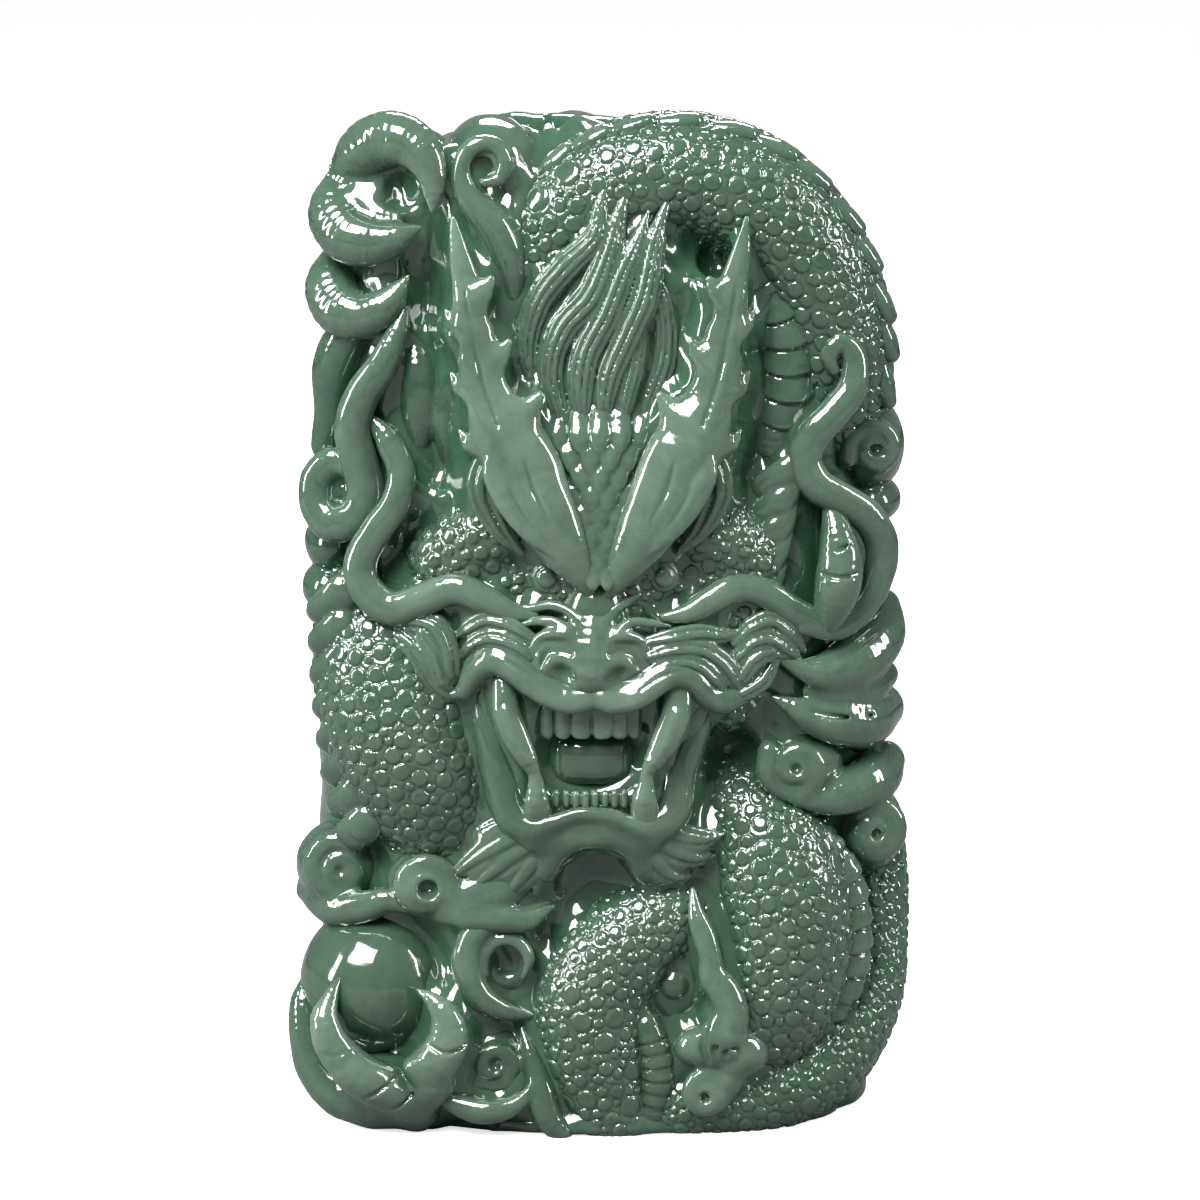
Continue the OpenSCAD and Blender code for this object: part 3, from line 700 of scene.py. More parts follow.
def forehead():
    """The wedge of overlapping pointed scales between the horns."""
    clay = Clay(seat=-1)
    clay.strand([(0, -4.8, 51, 3.4), (0, -5.4, 47.5, 3.0), (0, -6.0, 44.4, 2.2), (0, -6.8, 41, 1.0)],
                flat=0.5)
    for row in range(8):
        z = 50.8 - 1.35 * row
        spread = 1.45 - 0.06 * row
        for k in (-2, -1, 0, 1, 2):
            x = spread * (k + 0.5 * (row % 2))
            if abs(x) > 3.2 - 0.3 * row:
                continue
            y = -7.1 - 0.14 * row + 0.08 * x * x
            clay.strand([(x, y + 0.9, z + 1.3, 0.7), (x, y + 0.25, z + 0.2, 0.85),
                         (x * 0.97, y - 0.1, z - 0.7, 0.55),
                         (x * 0.95, y - 0.2, z - 1.35, 0.12)], flat=0.5, blend=0.03)
    return clay


def cheek(sign):
    """A brow and jowl covered with drilled bead scales, beside the eye."""
    clay = Clay(seat=0)

    clay.strand(sided(sign, [(-2.6, -3.6, 45.4, 1.8), (-5.4, -4, 44.4, 2.6), (-8.2, -3.8, 43.2, 3),
                             (-10.6, -3, 41.4, 3)]),
                step=0.8)
    clay.strand(sided(sign, [(-3, -4.2, 41.2, 1.4), (-5.6, -4.2, 40.2, 1.9), (-8.6, -3.8, 40.4, 2.2)]),
                step=0.8, blend=0.6)
    clay.strand(sided(sign, [(-9.4, -3, 38, 2.8), (-9.8, -3, 34.6, 2.6), (-9.2, -3.4, 31, 1.8)]),
                blend=0.8)
    clay.rings(17, ((0.6, 120), (0.45, 160), (0.32, 200)), dome=0.13)
    return clay


def eye(x, z):
    """A flat drilled disc, domed and polished, low in its socket."""
    clay = Clay(seat=-3)
    clay.ball((x, -6.1, z), (1.15, 1.0, 1.2))

    def ring(px, py, pz):
        return np.sqrt((np.hypot(px - x, pz - z) - 0.8) ** 2 + (py + 6.8) ** 2) - 0.13

    clay.shape_with((x - 1.3, -8, z - 1.3), (x + 1.3, -6.6, z + 1.3), ring, blend=0.08, cut=True)
    return clay


def muzzle():
    """The flesh of the upper jaw, from the bridge down to the gum."""
    clay = Clay(seat=1)
    clay.ball((-0.6, -3.6, 35.2), (9, 3.9, 3.8))
    clay.strand([(0, -4.4, 41.2, 1.8), (-0.1, -5, 40, 2.2), (-0.3, -5.5, 38.4, 2.6),
                 (-0.5, -5.4, 37, 3)], blend=1.0)
    clay.ball((-0.2, -4.2, 32), (5.8, 3.0, 2.2), blend=0.8)
    clay.strand([(-8, -4.4, 33, 1.6), (-7.2, -5, 30.6, 1.4), (-6.6, -5.2, 28.6, 1.1)], blend=0.8)
    clay.strand([(7, -4.4, 33, 1.6), (6.4, -5, 30.6, 1.4), (5.6, -5.2, 28.6, 1.1)], blend=0.8)
    return clay


def nose():
    """A short broad nose: a rounded tip between two rolled nostrils."""
    clay = Clay(seat=-2)
    clay.strand([(-0.1, -5.6, 40.2, 1.0), (-0.3, -6.4, 38.6, 1.4), (-0.5, -7.0, 36.9, 1.7),
                 (-0.65, -7.3, 35.2, 2.0),
                 (-0.7, -7.2, 34, 1.9)], blend=1.2)
    clay.ball((-2.9, -6.9, 35.1), (2.15, 1.7, 2.0), blend=1.2)
    clay.ball((1.55, -6.9, 34.9), (1.95, 1.7, 1.9), blend=1.2)
    left_rim = [(-1.5, -8.4, 36.1, 0.25), (-2.0, -8.5, 36.7, 0.4), (-2.9, -8.4, 37.0, 0.45),
                (-4.2, -7.8, 36.6, 0.45),
                (-4.85, -7.5, 35.2, 0.45), (-4.4, -7.7, 33.9, 0.42), (-3.2, -8.1, 33.0, 0.4),
                (-1.7, -8.4, 32.9, 0.3)]
    right_rim = [(0.3, -8.4, 36, 0.25), (0.7, -8.5, 36.5, 0.4), (1.6, -8.4, 36.8, 0.45),
                 (2.8, -7.8, 36.4, 0.45),
                 (3.4, -7.5, 35, 0.45), (3, -7.7, 33.8, 0.42), (1.9, -8.1, 33.0, 0.4),
                 (0.4, -8.4, 32.9, 0.3)]
    for rim in (left_rim, right_rim):
        clay.strand([(x, y + 0.1, z, 0.85 * r) for x, y, z, r in rim], blend=0.3)
    clay.groove([(-2.0, -8.8, 35.6, 0.1), (-2.8, -8.8, 35.9, 0.26), (-3.7, -8.4, 35.6, 0.28),
                 (-4.1, -8.1, 34.7, 0.14)],
                blend=0.3)
    clay.groove([(0.7, -8.8, 35.5, 0.1), (1.4, -8.8, 35.8, 0.26), (2.3, -8.4, 35.5, 0.28),
                 (2.7, -8.1, 34.6, 0.14)],
                blend=0.3)
    clay.pit((-2.5, -8.9, 34.1), (1.0, 0.85, 0.6), tilt=-20, blend=0.5)
    clay.pit((1.15, -8.9, 34.0), (0.9, 0.85, 0.58), tilt=20, blend=0.5)
    clay.ball((-0.7, -7.6, 34.4), (1.5, 1.45, 1.4), blend=0.8)
    for crescent in (
        [(-1.3, -7.9, 36.9, 0.5), (-1.5, -7.8, 37.8, 0.45), (-2.3, -7.5, 38.5, 0.4),
         (-3.5, -7.2, 38.8, 0.38),
         (-5.0, -6.9, 38.5, 0.32), (-6.6, -6.6, 38.7, 0.15)],
        [(-2.2, -8.2, 37.3, 0.3), (-3.3, -7.9, 37.8, 0.35), (-4.6, -7.5, 37.7, 0.32),
         (-5.8, -7.2, 37.3, 0.15)],
        [(0.3, -7.9, 36.9, 0.5), (0.5, -7.8, 37.7, 0.45), (1.0, -7.5, 38.5, 0.4), (1.8, -7.2, 39, 0.36),
         (2.8, -6.8, 39.5, 0.15)],
        [(1.2, -8.2, 37.1, 0.3), (2.1, -7.9, 37.7, 0.35), (3.3, -7.5, 37.6, 0.32),
         (4.9, -7.1, 37.3, 0.15)],
    ):
        clay.strand(crescent, blend=0.5)
    return clay


def upper_lip():
    """The rolled lip: it hangs in two swags and sweeps up over each fang."""
    clay = Clay(seat=0)
    lip = [
        (-10.6, -5.6, 32.2, 0.4), (-9.6, -5.9, 32.4, 0.7), (-8.9, -6.3, 33.6, 0.85),
        (-7.7, -6.9, 34.7, 0.95),
        (-6.3, -7.4, 34.3, 0.9), (-4.9, -7.7, 33.2, 0.85), (-3.3, -8.1, 32.3, 0.8),
        (-1.8, -8.3, 31.95, 0.75),
        (-0.4, -8.2, 32.25, 0.7), (1.0, -8.3, 31.95, 0.75), (2.6, -8.1, 32.3, 0.8),
        (3.9, -7.7, 33.2, 0.85),
        (5.2, -7.3, 33.8, 0.9), (6.6, -6.9, 33.3, 0.9), (7.7, -6.4, 32.1, 0.9), (8.9, -6, 31.7, 0.9),
        (10.3, -5.6, 32.6, 0.8), (11.6, -5.2, 33.9, 0.5)
    ]
    clay.strand(lip, blend=0.5)
    slope = [(0.97 * x, y + 0.75, z + 0.75, 1.1 * r + 0.1) for x, y, z, r in lip[2:-2]]
    clay.strand(slope, blend=0.9)
    clay.groove([(-6.4, -8.1, 35, 0.1), (-4.6, -8.4, 33.9, 0.16), (-2.6, -8.8, 33, 0.1)])
    clay.groove([(2.8, -8.8, 33, 0.1), (4.2, -8.4, 33.9, 0.16), (6, -8, 34.4, 0.1)])
    return clay


def moustache(locks):
    """Grooved locks, one strand for each route."""
    clay = Clay(seat=0)
    for route in locks:
        clay.strand(route, flat=0.8, detail=hair_lines(3, 0.3), blend=0.1)
    return clay


def left_moustache():
    """The locks that sweep out from the lip on the left."""
    return moustache((
        [(-4.7, -7.4, 36.4, 0.5), (-6.3, -7.2, 37.3, 0.75), (-7.9, -6.8, 37.65, 0.8),
         (-9.2, -6.4, 37, 0.7), (-10, -6, 36.4, 0.3)],
        [(-4.9, -7.6, 35.2, 0.5), (-6.3, -7.4, 36.1, 0.75), (-7.7, -7, 36.4, 0.8),
         (-8.9, -6.6, 35.9, 0.65), (-9.8, -6, 34.8, 0.25)],
        [(-4.9, -7.8, 34.0, 0.5), (-6.3, -7.5, 35, 0.65), (-7.5, -7.2, 35.3, 0.6),
         (-8.6, -6.6, 34.8, 0.3)],
        [(-14.4, -4.8, 37, 0.6), (-13.1, -5.4, 37.4, 0.95), (-11.6, -5.9, 37, 1.1),
         (-10.8, -6.1, 35.5, 1.0),
         (-10.5, -6, 33.9, 0.8), (-10.1, -5.7, 32.9, 0.3)],
        [(-15.4, -4.4, 36.7, 0.4), (-13.8, -5.2, 36.1, 0.85), (-12.6, -5.7, 34.8, 0.95),
         (-11.9, -5.7, 33.2, 0.8),
         (-10.8, -5.6, 32.1, 0.6), (-9.5, -5.4, 32.2, 0.3)],
        [(-12.4, -5.9, 36.4, 0.6), (-11.6, -6.2, 34.8, 0.7), (-11.1, -6.1, 33.2, 0.6),
         (-10.4, -5.8, 32.3, 0.3)],
    ))


def right_moustache():
    """The locks that sweep out from the lip on the right."""
    return moustache((
        [(3.4, -7.4, 36.2, 0.5), (5.1, -7.2, 36.5, 0.75), (7, -6.8, 36.7, 0.8), (8.6, -6.4, 36.5, 0.6),
         (9.6, -6.2, 36.7, 0.3)],
        [(3.5, -7.6, 35.2, 0.5), (5.2, -7.3, 35.6, 0.75), (7.2, -6.9, 35.5, 0.85),
         (8.6, -6.6, 34.6, 0.85),
         (9.4, -6.4, 33.5, 0.75), (9.9, -6, 32.3, 0.4)],
        [(3.3, -7.8, 34.0, 0.5), (5.1, -7.4, 34.7, 0.7), (6.8, -7.1, 34.5, 0.8), (8.1, -6.7, 33.3, 0.7),
         (8.8, -6.3, 32.1, 0.3)],
        [(9.6, -6.2, 36, 0.5), (10.7, -6, 37, 0.8), (12.1, -5.6, 37.4, 0.95), (13.3, -5.2, 36.5, 0.85),
         (14.4, -4.8, 35.1, 0.3)],
        [(9.8, -6.3, 35, 0.6), (10.9, -6.1, 36, 0.8), (12.1, -5.7, 36.1, 0.85),
         (13.3, -5.2, 35.2, 0.65), (14.2, -4.8, 34.4, 0.25)],
        [(10, -6.3, 33.6, 0.7), (10.7, -6.1, 34.7, 0.85), (11.7, -5.8, 35.2, 0.8),
         (12.7, -5.3, 34.8, 0.4)],
        [(10.1, -6.1, 32.4, 0.7), (11.4, -5.7, 33.2, 0.8), (12.1, -5.4, 34.3, 0.6),
         (12.6, -5.1, 35, 0.25)],
    ))


def tooth_row(teeth, z, drop, height, gum_r):
    """Flat close-set teeth with rounded ends: (middle, half width) each."""
    clay = Clay(seat=-3)
    first, last = teeth[0][0], teeth[-1][0]
    gum = []
    for k in range(7):
        x = first + (last - first) * k / 6
        gum.append((x, -6.6 + 0.05 * (x + 0.6) ** 2, z + 0.1 * drop, gum_r))
    clay.strand(gum, flat=0.9)
    for x, half in teeth:
        y = -7.2 + 0.05 * (x + 0.6) ** 2
        end = z - drop * (height - 0.3 * half)

        def slab(px, py, pz, x=x, y=y, half=half, end=end):
            side = np.abs(px - x) - half
            middle, reach = 0.5 * (z + end), 0.5 * abs(z - end)
            rise = np.abs(pz - middle) - reach
            face = np.abs(py - y) - 0.42 + 0.25 * ((px - x) / half) ** 2
            return smooth_max(smooth_max(side, rise, 0.55), face, 0.25).astype(np.float32)

        low = (x - half - 0.4, y - 1, min(z, end) - 0.5)
        high = (x + half + 0.4, y + 1, max(z, end) + 0.5)
        clay.shape_with(low, high, slab, blend=0.05)
    return clay


def upper_teeth():
    """The front row in the upper jaw, widest in the middle."""
    teeth = ((-3.7, 0.52), (-2.6, 0.6), (-1.3, 0.74), (0.16, 0.74), (1.4, 0.6), (2.45, 0.52))
    return tooth_row(teeth, 31.7, 1, 2.7, 0.7)


def lower_teeth():
    """The row of small teeth in the lower jaw."""
    return tooth_row([(-3.05 + 0.68 * k, 0.33) for k in range(8)], 24.2, -1, 1.5, 0.6)


def tongue():
    """A smooth arched tongue that lies across the mouth between two drillings."""
    clay = Clay(seat=0)

    def arched(x, y, z):
        bow = np.sqrt((x + 0.6) ** 2 + (y + 0.6) ** 2) - 6.0
        height = np.abs(z - 27.4) - 1.9
        width = np.abs(x + 0.6) - 3.1
        return smooth_max(smooth_max(bow, height, 1.6), width, 1.0).astype(np.float32)

    clay.shape_with((-4.6, -7.6, 24.8), (3.4, 0.5, 30), arched)
    return clay


def fang(points):
    """An eye tooth: an upper and a lower one that meet at a narrow waist."""
    clay = Clay(seat=-3)
    clay.strand(points, flat=0.75, blend=0.2)
    ridge = [(x, y - 0.55 * r, z, 0.3 * r) for x, y, z, r in points[1:4]]
    clay.strand(ridge, blend=0.3)
    return clay


def left_fang():
    """The long fang on the left."""
    return fang([(-6.8, -6.8, 33.2, 0.8), (-6.65, -7.3, 31.4, 1.0), (-5.95, -7.6, 29.5, 1.0),
                 (-5.1, -7.7, 27.9, 0.75),
                 (-4.65, -7.6, 26.9, 0.46), (-4.5, -7.5, 25.9, 0.62), (-4.45, -7.4, 24.7, 0.92),
                 (-4.4, -7, 23.6, 1.1)])


def right_fang():
    """The long fang on the right."""
    return fang([(5.5, -6.8, 33.2, 0.9), (5.4, -7.3, 31.2, 1.05), (4.6, -7.6, 29.2, 1.0),
                 (3.8, -7.7, 27.8, 0.72),
                 (3.3, -7.6, 26.9, 0.44), (3.25, -7.5, 25.9, 0.62), (3.15, -7.4, 24.8, 0.92),
                 (3.15, -7, 23.6, 1.05)])


def lower_jaw():
    """Broad cheeks outside the fangs that flow into a rounded chin."""
    clay = Clay(seat=1)
    clay.ball((-0.8, -3.4, 27.4), (8, 3.0, 7.4))
    clay.strand([(-8.2, -4.2, 32, 1.5), (-7.5, -4.9, 29, 1.6), (-6.9, -5.3, 26, 1.55),
                 (-6.1, -5.9, 23.6, 1.5),
                 (-4.4, -6, 22.2, 1.5)], blend=0.9)
    clay.strand([(7.2, -4.2, 32, 1.4), (6.3, -4.9, 29, 1.4), (5.5, -5.3, 26.4, 1.35),
                 (5.1, -5.9, 23.8, 1.4),
                 (3.4, -6, 22.2, 1.5)], blend=0.9)
    clay.ball((-0.5, -5.3, 22.3), (4.8, 2.4, 2.0), blend=1.0)
    clay.strand([(-5.9, -6.3, 23.3, 0.5), (-4.6, -7.2, 22.9, 0.6), (-3.2, -7.5, 23.4, 0.5),
                 (-1.9, -7.4, 23.8, 0.5),
                 (-0.5, -7.4, 23.9, 0.5), (0.8, -7.4, 23.8, 0.5), (2, -7.5, 23.3, 0.5),
                 (3.3, -7.2, 22.9, 0.6),
                 (4.5, -6.5, 23.4, 0.5)], blend=0.9)
    clay.strand([(-2.4, -5.8, 21.6, 1.3), (-3.6, -5.5, 20, 1.3), (-4.3, -5.1, 18.6, 0.8),
                 (-4.6, -4.8, 17.8, 0.3)], blend=0.9)
    clay.strand([(1.8, -5.8, 21.6, 1.3), (2.9, -5.5, 20, 1.3), (3.7, -5.1, 18.8, 0.8),
                 (4.1, -4.8, 18, 0.3)], blend=0.9)
    clay.pit((-0.6, -6.9, 28.2), (4.4, 2.0, 3.2), blend=0.5)
    clay.pit((-3.9, -6.6, 27.9), (0.8, 2.6, 1.0))
    clay.pit((2.75, -6.6, 27.9), (0.8, 2.6, 1.0))
    clay.pit((-0.35, -6.6, 18.4), (2.5, 4.6, 2.7), blend=0.9)
    return clay


def beard(locks):
    """Grooved tufts that blend into one another."""
    clay = Clay(seat=0)
    for route in locks:
        clay.strand(route, flat=0.75, detail=hair_lines(3, 0.2), blend=0.8)
    return clay


def left_beard():
    """The tufts below the jaw on the left."""
    return beard((
        [(-4.8, -5.8, 23, 0.8), (-6.6, -5.8, 22.9, 0.8), (-8.0, -5.4, 22.4, 0.65),
         (-9.2, -4.9, 21.6, 0.2)],
        [(-4.4, -5.9, 22.6, 1.0), (-6.4, -5.8, 21.8, 1.1), (-8.2, -5.4, 20.7, 1.0),
         (-9.8, -5, 19.4, 0.6), (-10.8, -4.8, 18.6, 0.2)],
        [(-4, -5.9, 22, 1.0), (-5.7, -5.8, 20.9, 1.1), (-7.4, -5.4, 19.5, 1.0), (-8.8, -5.1, 18.3, 0.6),
         (-9.6, -4.8, 17.6, 0.2)],
        [(-3.4, -5.8, 21.6, 1.1), (-4.7, -5.7, 20, 1.1), (-5.9, -5.4, 18.5, 0.85), (-7, -5, 17.2, 0.2)],
        [(-3.2, -5.6, 20.6, 0.9), (-3.9, -5.5, 19, 0.8), (-4.6, -5.2, 17.6, 0.2)],
    ))


def right_beard():
    """The tufts below the jaw on the right."""
    return beard((
        [(4.2, -5.8, 23, 0.9), (5.6, -5.8, 22.2, 0.95), (7.2, -5.4, 21.7, 0.8), (8.8, -5, 21.9, 0.2)],
        [(3.6, -5.9, 22.4, 1.1), (5.0, -5.8, 21.1, 1.1), (6.5, -5.4, 20.4, 0.9), (8.1, -5, 20.3, 0.2)],
        [(2.8, -5.9, 21.8, 1.1), (3.9, -5.8, 20.2, 1.1), (5.1, -5.4, 19.1, 0.85), (6.5, -5, 18.8, 0.2)],
        [(2.6, -5.6, 20.8, 0.9), (3.4, -5.5, 19.2, 0.85), (4.3, -5.2, 17.8, 0.2)],
    ))


# ---------------------------------------------------------------- the ribbons
def ribbon(routes, seat=2, grooves=()):
    """Flat trailing bands with a soft fillet where they leave the stone."""
    clay = Clay(seat=seat)
    for route in routes:
        clay.strand([(x, y, z, 1.08 * r) for x, y, z, r in route], flat=0.72, blend=0.3)
        clay.strand([(x, y + 0.85 * r, z, 1.05 * r) for x, y, z, r in route], blend=0.5)
    for line in grooves:
        clay.groove(line)
    return clay


def left_whisker():
    """The long whisker that winds up the left side."""
    return ribbon([
        [(-4.6, -7.1, 38, 0.25), (-6.4, -7, 38.3, 0.7), (-8, -6.8, 39.1, 0.95),
         (-10.2, -6.5, 39.8, 1.05), (-12.6, -6, 38.9, 1.1),
         (-14.6, -5.4, 38.2, 1.15), (-16.4, -5, 39.4, 1.15), (-16.9, -4.8, 41.4, 1.1),
         (-15.8, -4.8, 43.6, 1.05),
         (-14.3, -4.8, 45.8, 1.0), (-14, -4.6, 48, 0.95), (-14.9, -4.2, 50, 0.8),
         (-16.2, -3.8, 51.6, 0.25)],
    ])


def left_curl_ribbon():
    """The ribbon at the upper left, with its curl."""
    clay = ribbon([
        [(-13.7, -3.6, 59.2, 0.25), (-14.2, -4, 57.6, 0.7), (-15.2, -4.2, 55.4, 1.05),
         (-16.7, -4.2, 53.2, 1.15),
         (-17.4, -4, 50.8, 1.2), (-16.9, -3.8, 48.4, 1.25), (-16.5, -3.6, 46.2, 1.25),
         (-17.3, -3.4, 44.4, 1.25),
         (-18.9, -3, 43.9, 1.25), (-20.0, -2.4, 45.2, 1.15), (-20.0, -2.2, 47, 1.1),
         (-18.9, -2.4, 48.2, 1.0),
         (-17.6, -3, 48, 0.7)],
    ], seat=3)
    clay.ball((-18.5, 0.4, 46.2), (2.3, 2.8, 3), blend=0.5)
    clay.strand([(-18.9, -2, 45.8, 0.5), (-18.2, -2.2, 46.2, 0.3)], blend=0.3)
    return clay


def right_whisker():
    """The long whisker that winds up the right side."""
    return ribbon([
        [(16.4, -4.2, 55, 0.3), (16, -4.4, 56, 0.5), (16.8, -4.2, 57, 0.6), (17.8, -4, 56, 0.75),
         (17.8, -4.2, 54, 0.95), (16.6, -4.6, 52.2, 1.05), (15.1, -4.9, 50.6, 1.1),
         (14.4, -5, 48.8, 1.1),
         (15.2, -5, 47, 1.1), (17, -4.6, 45.9, 1.1), (18.9, -4, 44.5, 1.1), (19.9, -3.4, 42.4, 1.1),
         (19.6, -3.4, 40, 1.05), (18.4, -4, 38, 1.0), (16.6, -4.8, 36.8, 0.9), (14.4, -5.4, 36.8, 0.4)],
        [(4.6, -7, 37.9, 0.25), (6, -6.9, 38.1, 0.6), (7.4, -6.7, 38.8, 0.85), (8.9, -6.4, 39.6, 0.95),
         (10.5, -6, 39.8, 0.95), (12.3, -5.7, 39, 0.95), (13.7, -5.4, 38, 0.9),
         (15.4, -5.1, 37.2, 0.8)],
    ], seat=3)


def cheek_spikes():
    """A row of pointed tufts beside the right horn."""
    clay = Clay(seat=0)
    for k in range(5):
        x, z = 10.2 + 0.35 * k, 38.4 + 2.1 * k
        clay.strand([(x, -4.2, z, 1.0), (x + 1.5, -4.8, z + 1.1, 1.05), (x + 2.9, -4.9, z + 2.9, 0.2)],
                    flat=0.6, blend=0.1)
    return clay


def bud_talon():
    """A pointed bud with a ringed joint, held in the loop of the ribbon."""
    clay = Clay(seat=2)
    clay.strand([(15.9, -4.4, 46, 0.2), (16.6, -5, 43.8, 1.1), (16.9, -5.3, 41.6, 1.6),
                 (16.7, -5.3, 39.6, 1.65),
                 (16.3, -5.1, 37.8, 1.15), (16, -4.8, 35.8, 0.2)], blend=0.2)
    clay.groove([(15, -6.1, 41, 0.2), (16.8, -7.0, 40.7, 0.2), (18.6, -6.1, 41, 0.2)])
    clay.groove([(15.4, -6.1, 43.4, 0.12), (16.4, -6.8, 42.6, 0.14), (17.6, -6.1, 43, 0.12)])
    return clay


# ----------------------------------------------------------------- the clouds
def upper_right_cloud():
    """The round cloud with a spiral, high on the right edge."""
    clay = Clay(seat=6)
    clay.ball((19.2, 1.4, 49), (2.5, 3.6, 3.4))
    clay.strand(curl((19.4, -1.6, 49), 200, -1.1, 2.0, 0.8, 0.7), blend=0.3)
    clay.pit((19.6, -2.4, 49), (0.6, 1, 0.5))
    clay.ball((19.6, 1.8, 45), (1.9, 3, 1.7), blend=0.3)
    return clay


def right_cloud():
    """Two long tongues of cloud that sweep in from the right edge."""
    clay = Clay(seat=6)
    clay.ball((18.2, 0.8, 32), (2.6, 3.6, 5.4))
    clay.strand([(12.6, -5.2, 34.6, 0.2), (14.4, -5, 33.8, 0.8), (16.2, -4.2, 33.5, 1.5),
                 (18.2, -2.8, 34.2, 2.0),
                 (19.8, -1, 35.6, 2.0), (20.2, 0.5, 37.4, 1.3)], flat=0.85, blend=0.5)
    clay.strand([(12.2, -5, 31.8, 0.2), (13.8, -4.9, 31, 0.8), (15.4, -4.3, 30.2, 1.4),
                 (17.2, -3.2, 29.8, 1.9),
                 (19, -1.6, 29.6, 2.1), (20.4, 0.8, 30, 1.6)], flat=0.85, blend=0.4)
    clay.strand([(14.6, -4.6, 32.2, 0.3), (16.6, -3.8, 31.8, 0.9), (18.8, -2.2, 31.9, 1.3),
                 (20.2, -0.6, 32.6, 1.1)], blend=0.5)
    clay.groove([(15, -5.4, 34.4, 0.1), (17.2, -4.9, 34.8, 0.2), (19.6, -3.1, 36.2, 0.12)], blend=0.3)
    clay.groove([(14.4, -5.8, 31.2, 0.1), (16.6, -5, 30.4, 0.2), (19.2, -3.4, 30.2, 0.12)], blend=0.3)
    return clay


def right_scroll():
    """A spiral scroll beside the cheek, and the two that roll over the edge."""
    clay = Clay(seat=6)
    clay.ball((14.2, -2.2, 26.6), (3.1, 3, 2.6))
    clay.strand(curl((13.9, -4.2, 26.6), 150, 1.35, 2.2, 0.6, 0.85, rise=0.5), flat=0.85, blend=0.35)
    clay.pit((13.9, -5.6, 26.6), (0.5, 0.9, 0.45), blend=0.3)
    clay.strand([(14.2, -4.4, 24.2, 0.5), (16, -3.8, 24.1, 1.1), (17.8, -2.8, 24.5, 1.6),
                 (19.6, -1.2, 25.2, 1.9),
                 (20.6, 0.6, 26.2, 1.4)], flat=0.85, blend=0.5)
    clay.ball((19.4, 0.8, 21.2), (2.5, 3.9, 3.2), blend=0.6)
    clay.strand(curl((19.6, -1.9, 21.4), 120, -1.2, 2.1, 0.6, 0.8, rise=0.3), flat=0.85, blend=0.35)
    clay.pit((19.8, -3.1, 21.4), (0.45, 0.8, 0.45), blend=0.3)
    return clay


def left_edge_cloud():
    """The cloud that runs down the upper left edge."""
    clay = Clay(seat=6)
    clay.strand([(-16, -1.6, 60, 0.3), (-17.4, -1.8, 58, 1.3), (-18.6, -1, 55, 1.7),
                 (-18.8, 0, 51.6, 1.5),
                 (-19.4, 0.6, 49, 1.2)], flat=0.9)
    clay.ball((-18.9, 1, 42), (2.2, 3, 2.3), blend=0.4)
    clay.ball((-19.4, 1, 38.8), (1.9, 2.6, 1.9), blend=0.3)
    clay.groove([(-20.8, -0.6, 40.6, 0.2), (-19.2, -2.2, 40.4, 0.25), (-17.4, -2.2, 40.8, 0.1)])
    clay.strand([(-13.6, -2.2, 57.6, 0.3), (-12.8, -2.8, 55, 1.3), (-12.6, -2.8, 52, 1.5),
                 (-13.2, -2.4, 49, 1.0)], flat=0.8, blend=0.2)
    clay.strand([(-11.4, -2.6, 55.6, 0.3), (-11, -3, 53, 1.2), (-10.6, -3, 50.4, 1.2),
                 (-10.6, -2.6, 48, 0.6)], flat=0.8, blend=0.2)
    return clay


def left_low_cloud():
    """A rolled cloud at the left edge, above the pearl."""
    clay = Clay(seat=6)
    clay.ball((-18.6, 0.6, 18.6), (3.3, 3.9, 3.1))
    clay.strand(curl((-18.7, -2.4, 18.8), 60, 1.3, 2.2, 0.6, 0.85, rise=0.4), flat=0.85, blend=0.35)
    clay.pit((-18.6, -3.8, 18.8), (0.5, 0.8, 0.45), blend=0.3)
    clay.strand([(-21, 0.5, 16.6, 1), (-19.2, -2, 15.9, 1.3), (-17, -3.4, 16.2, 1.2),
                 (-15.2, -4, 16.8, 0.9),
                 (-13.6, -4.4, 16.4, 0.4)], flat=0.85, blend=0.5)
    return clay


def beard_curl():
    """The end of the beard: a broad sheet that rolls up into a ball."""
    clay = Clay(seat=3)
    clay.ball((-12.6, -3, 18), (2.7, 3, 2.5))
    clay.strand([(-11.6, -4.2, 17, 1.5), (-9.8, -4.5, 17, 1.8), (-7.8, -4.6, 17.6, 1.9),
                 (-6, -4.6, 18.8, 1.6)], flat=0.7, blend=0.7)
    clay.strand([(-11.2, -4.6, 16, 0.8), (-9.2, -5.2, 15.9, 1.0), (-7.2, -5.3, 15.8, 1.0),
                 (-5.2, -5.2, 15.7, 0.8),
                 (-3.4, -4.9, 16.6, 0.2)], flat=0.8, blend=0.4)
    clay.strand(curl((-12.5, -4.8, 18), -40, 1.3, 2.1, 0.9, 0.8, rise=0.3), flat=0.85, blend=0.35)
    clay.pit((-12.2, -6.4, 18), (0.85, 1.6, 0.8), blend=0.3)
    return clay


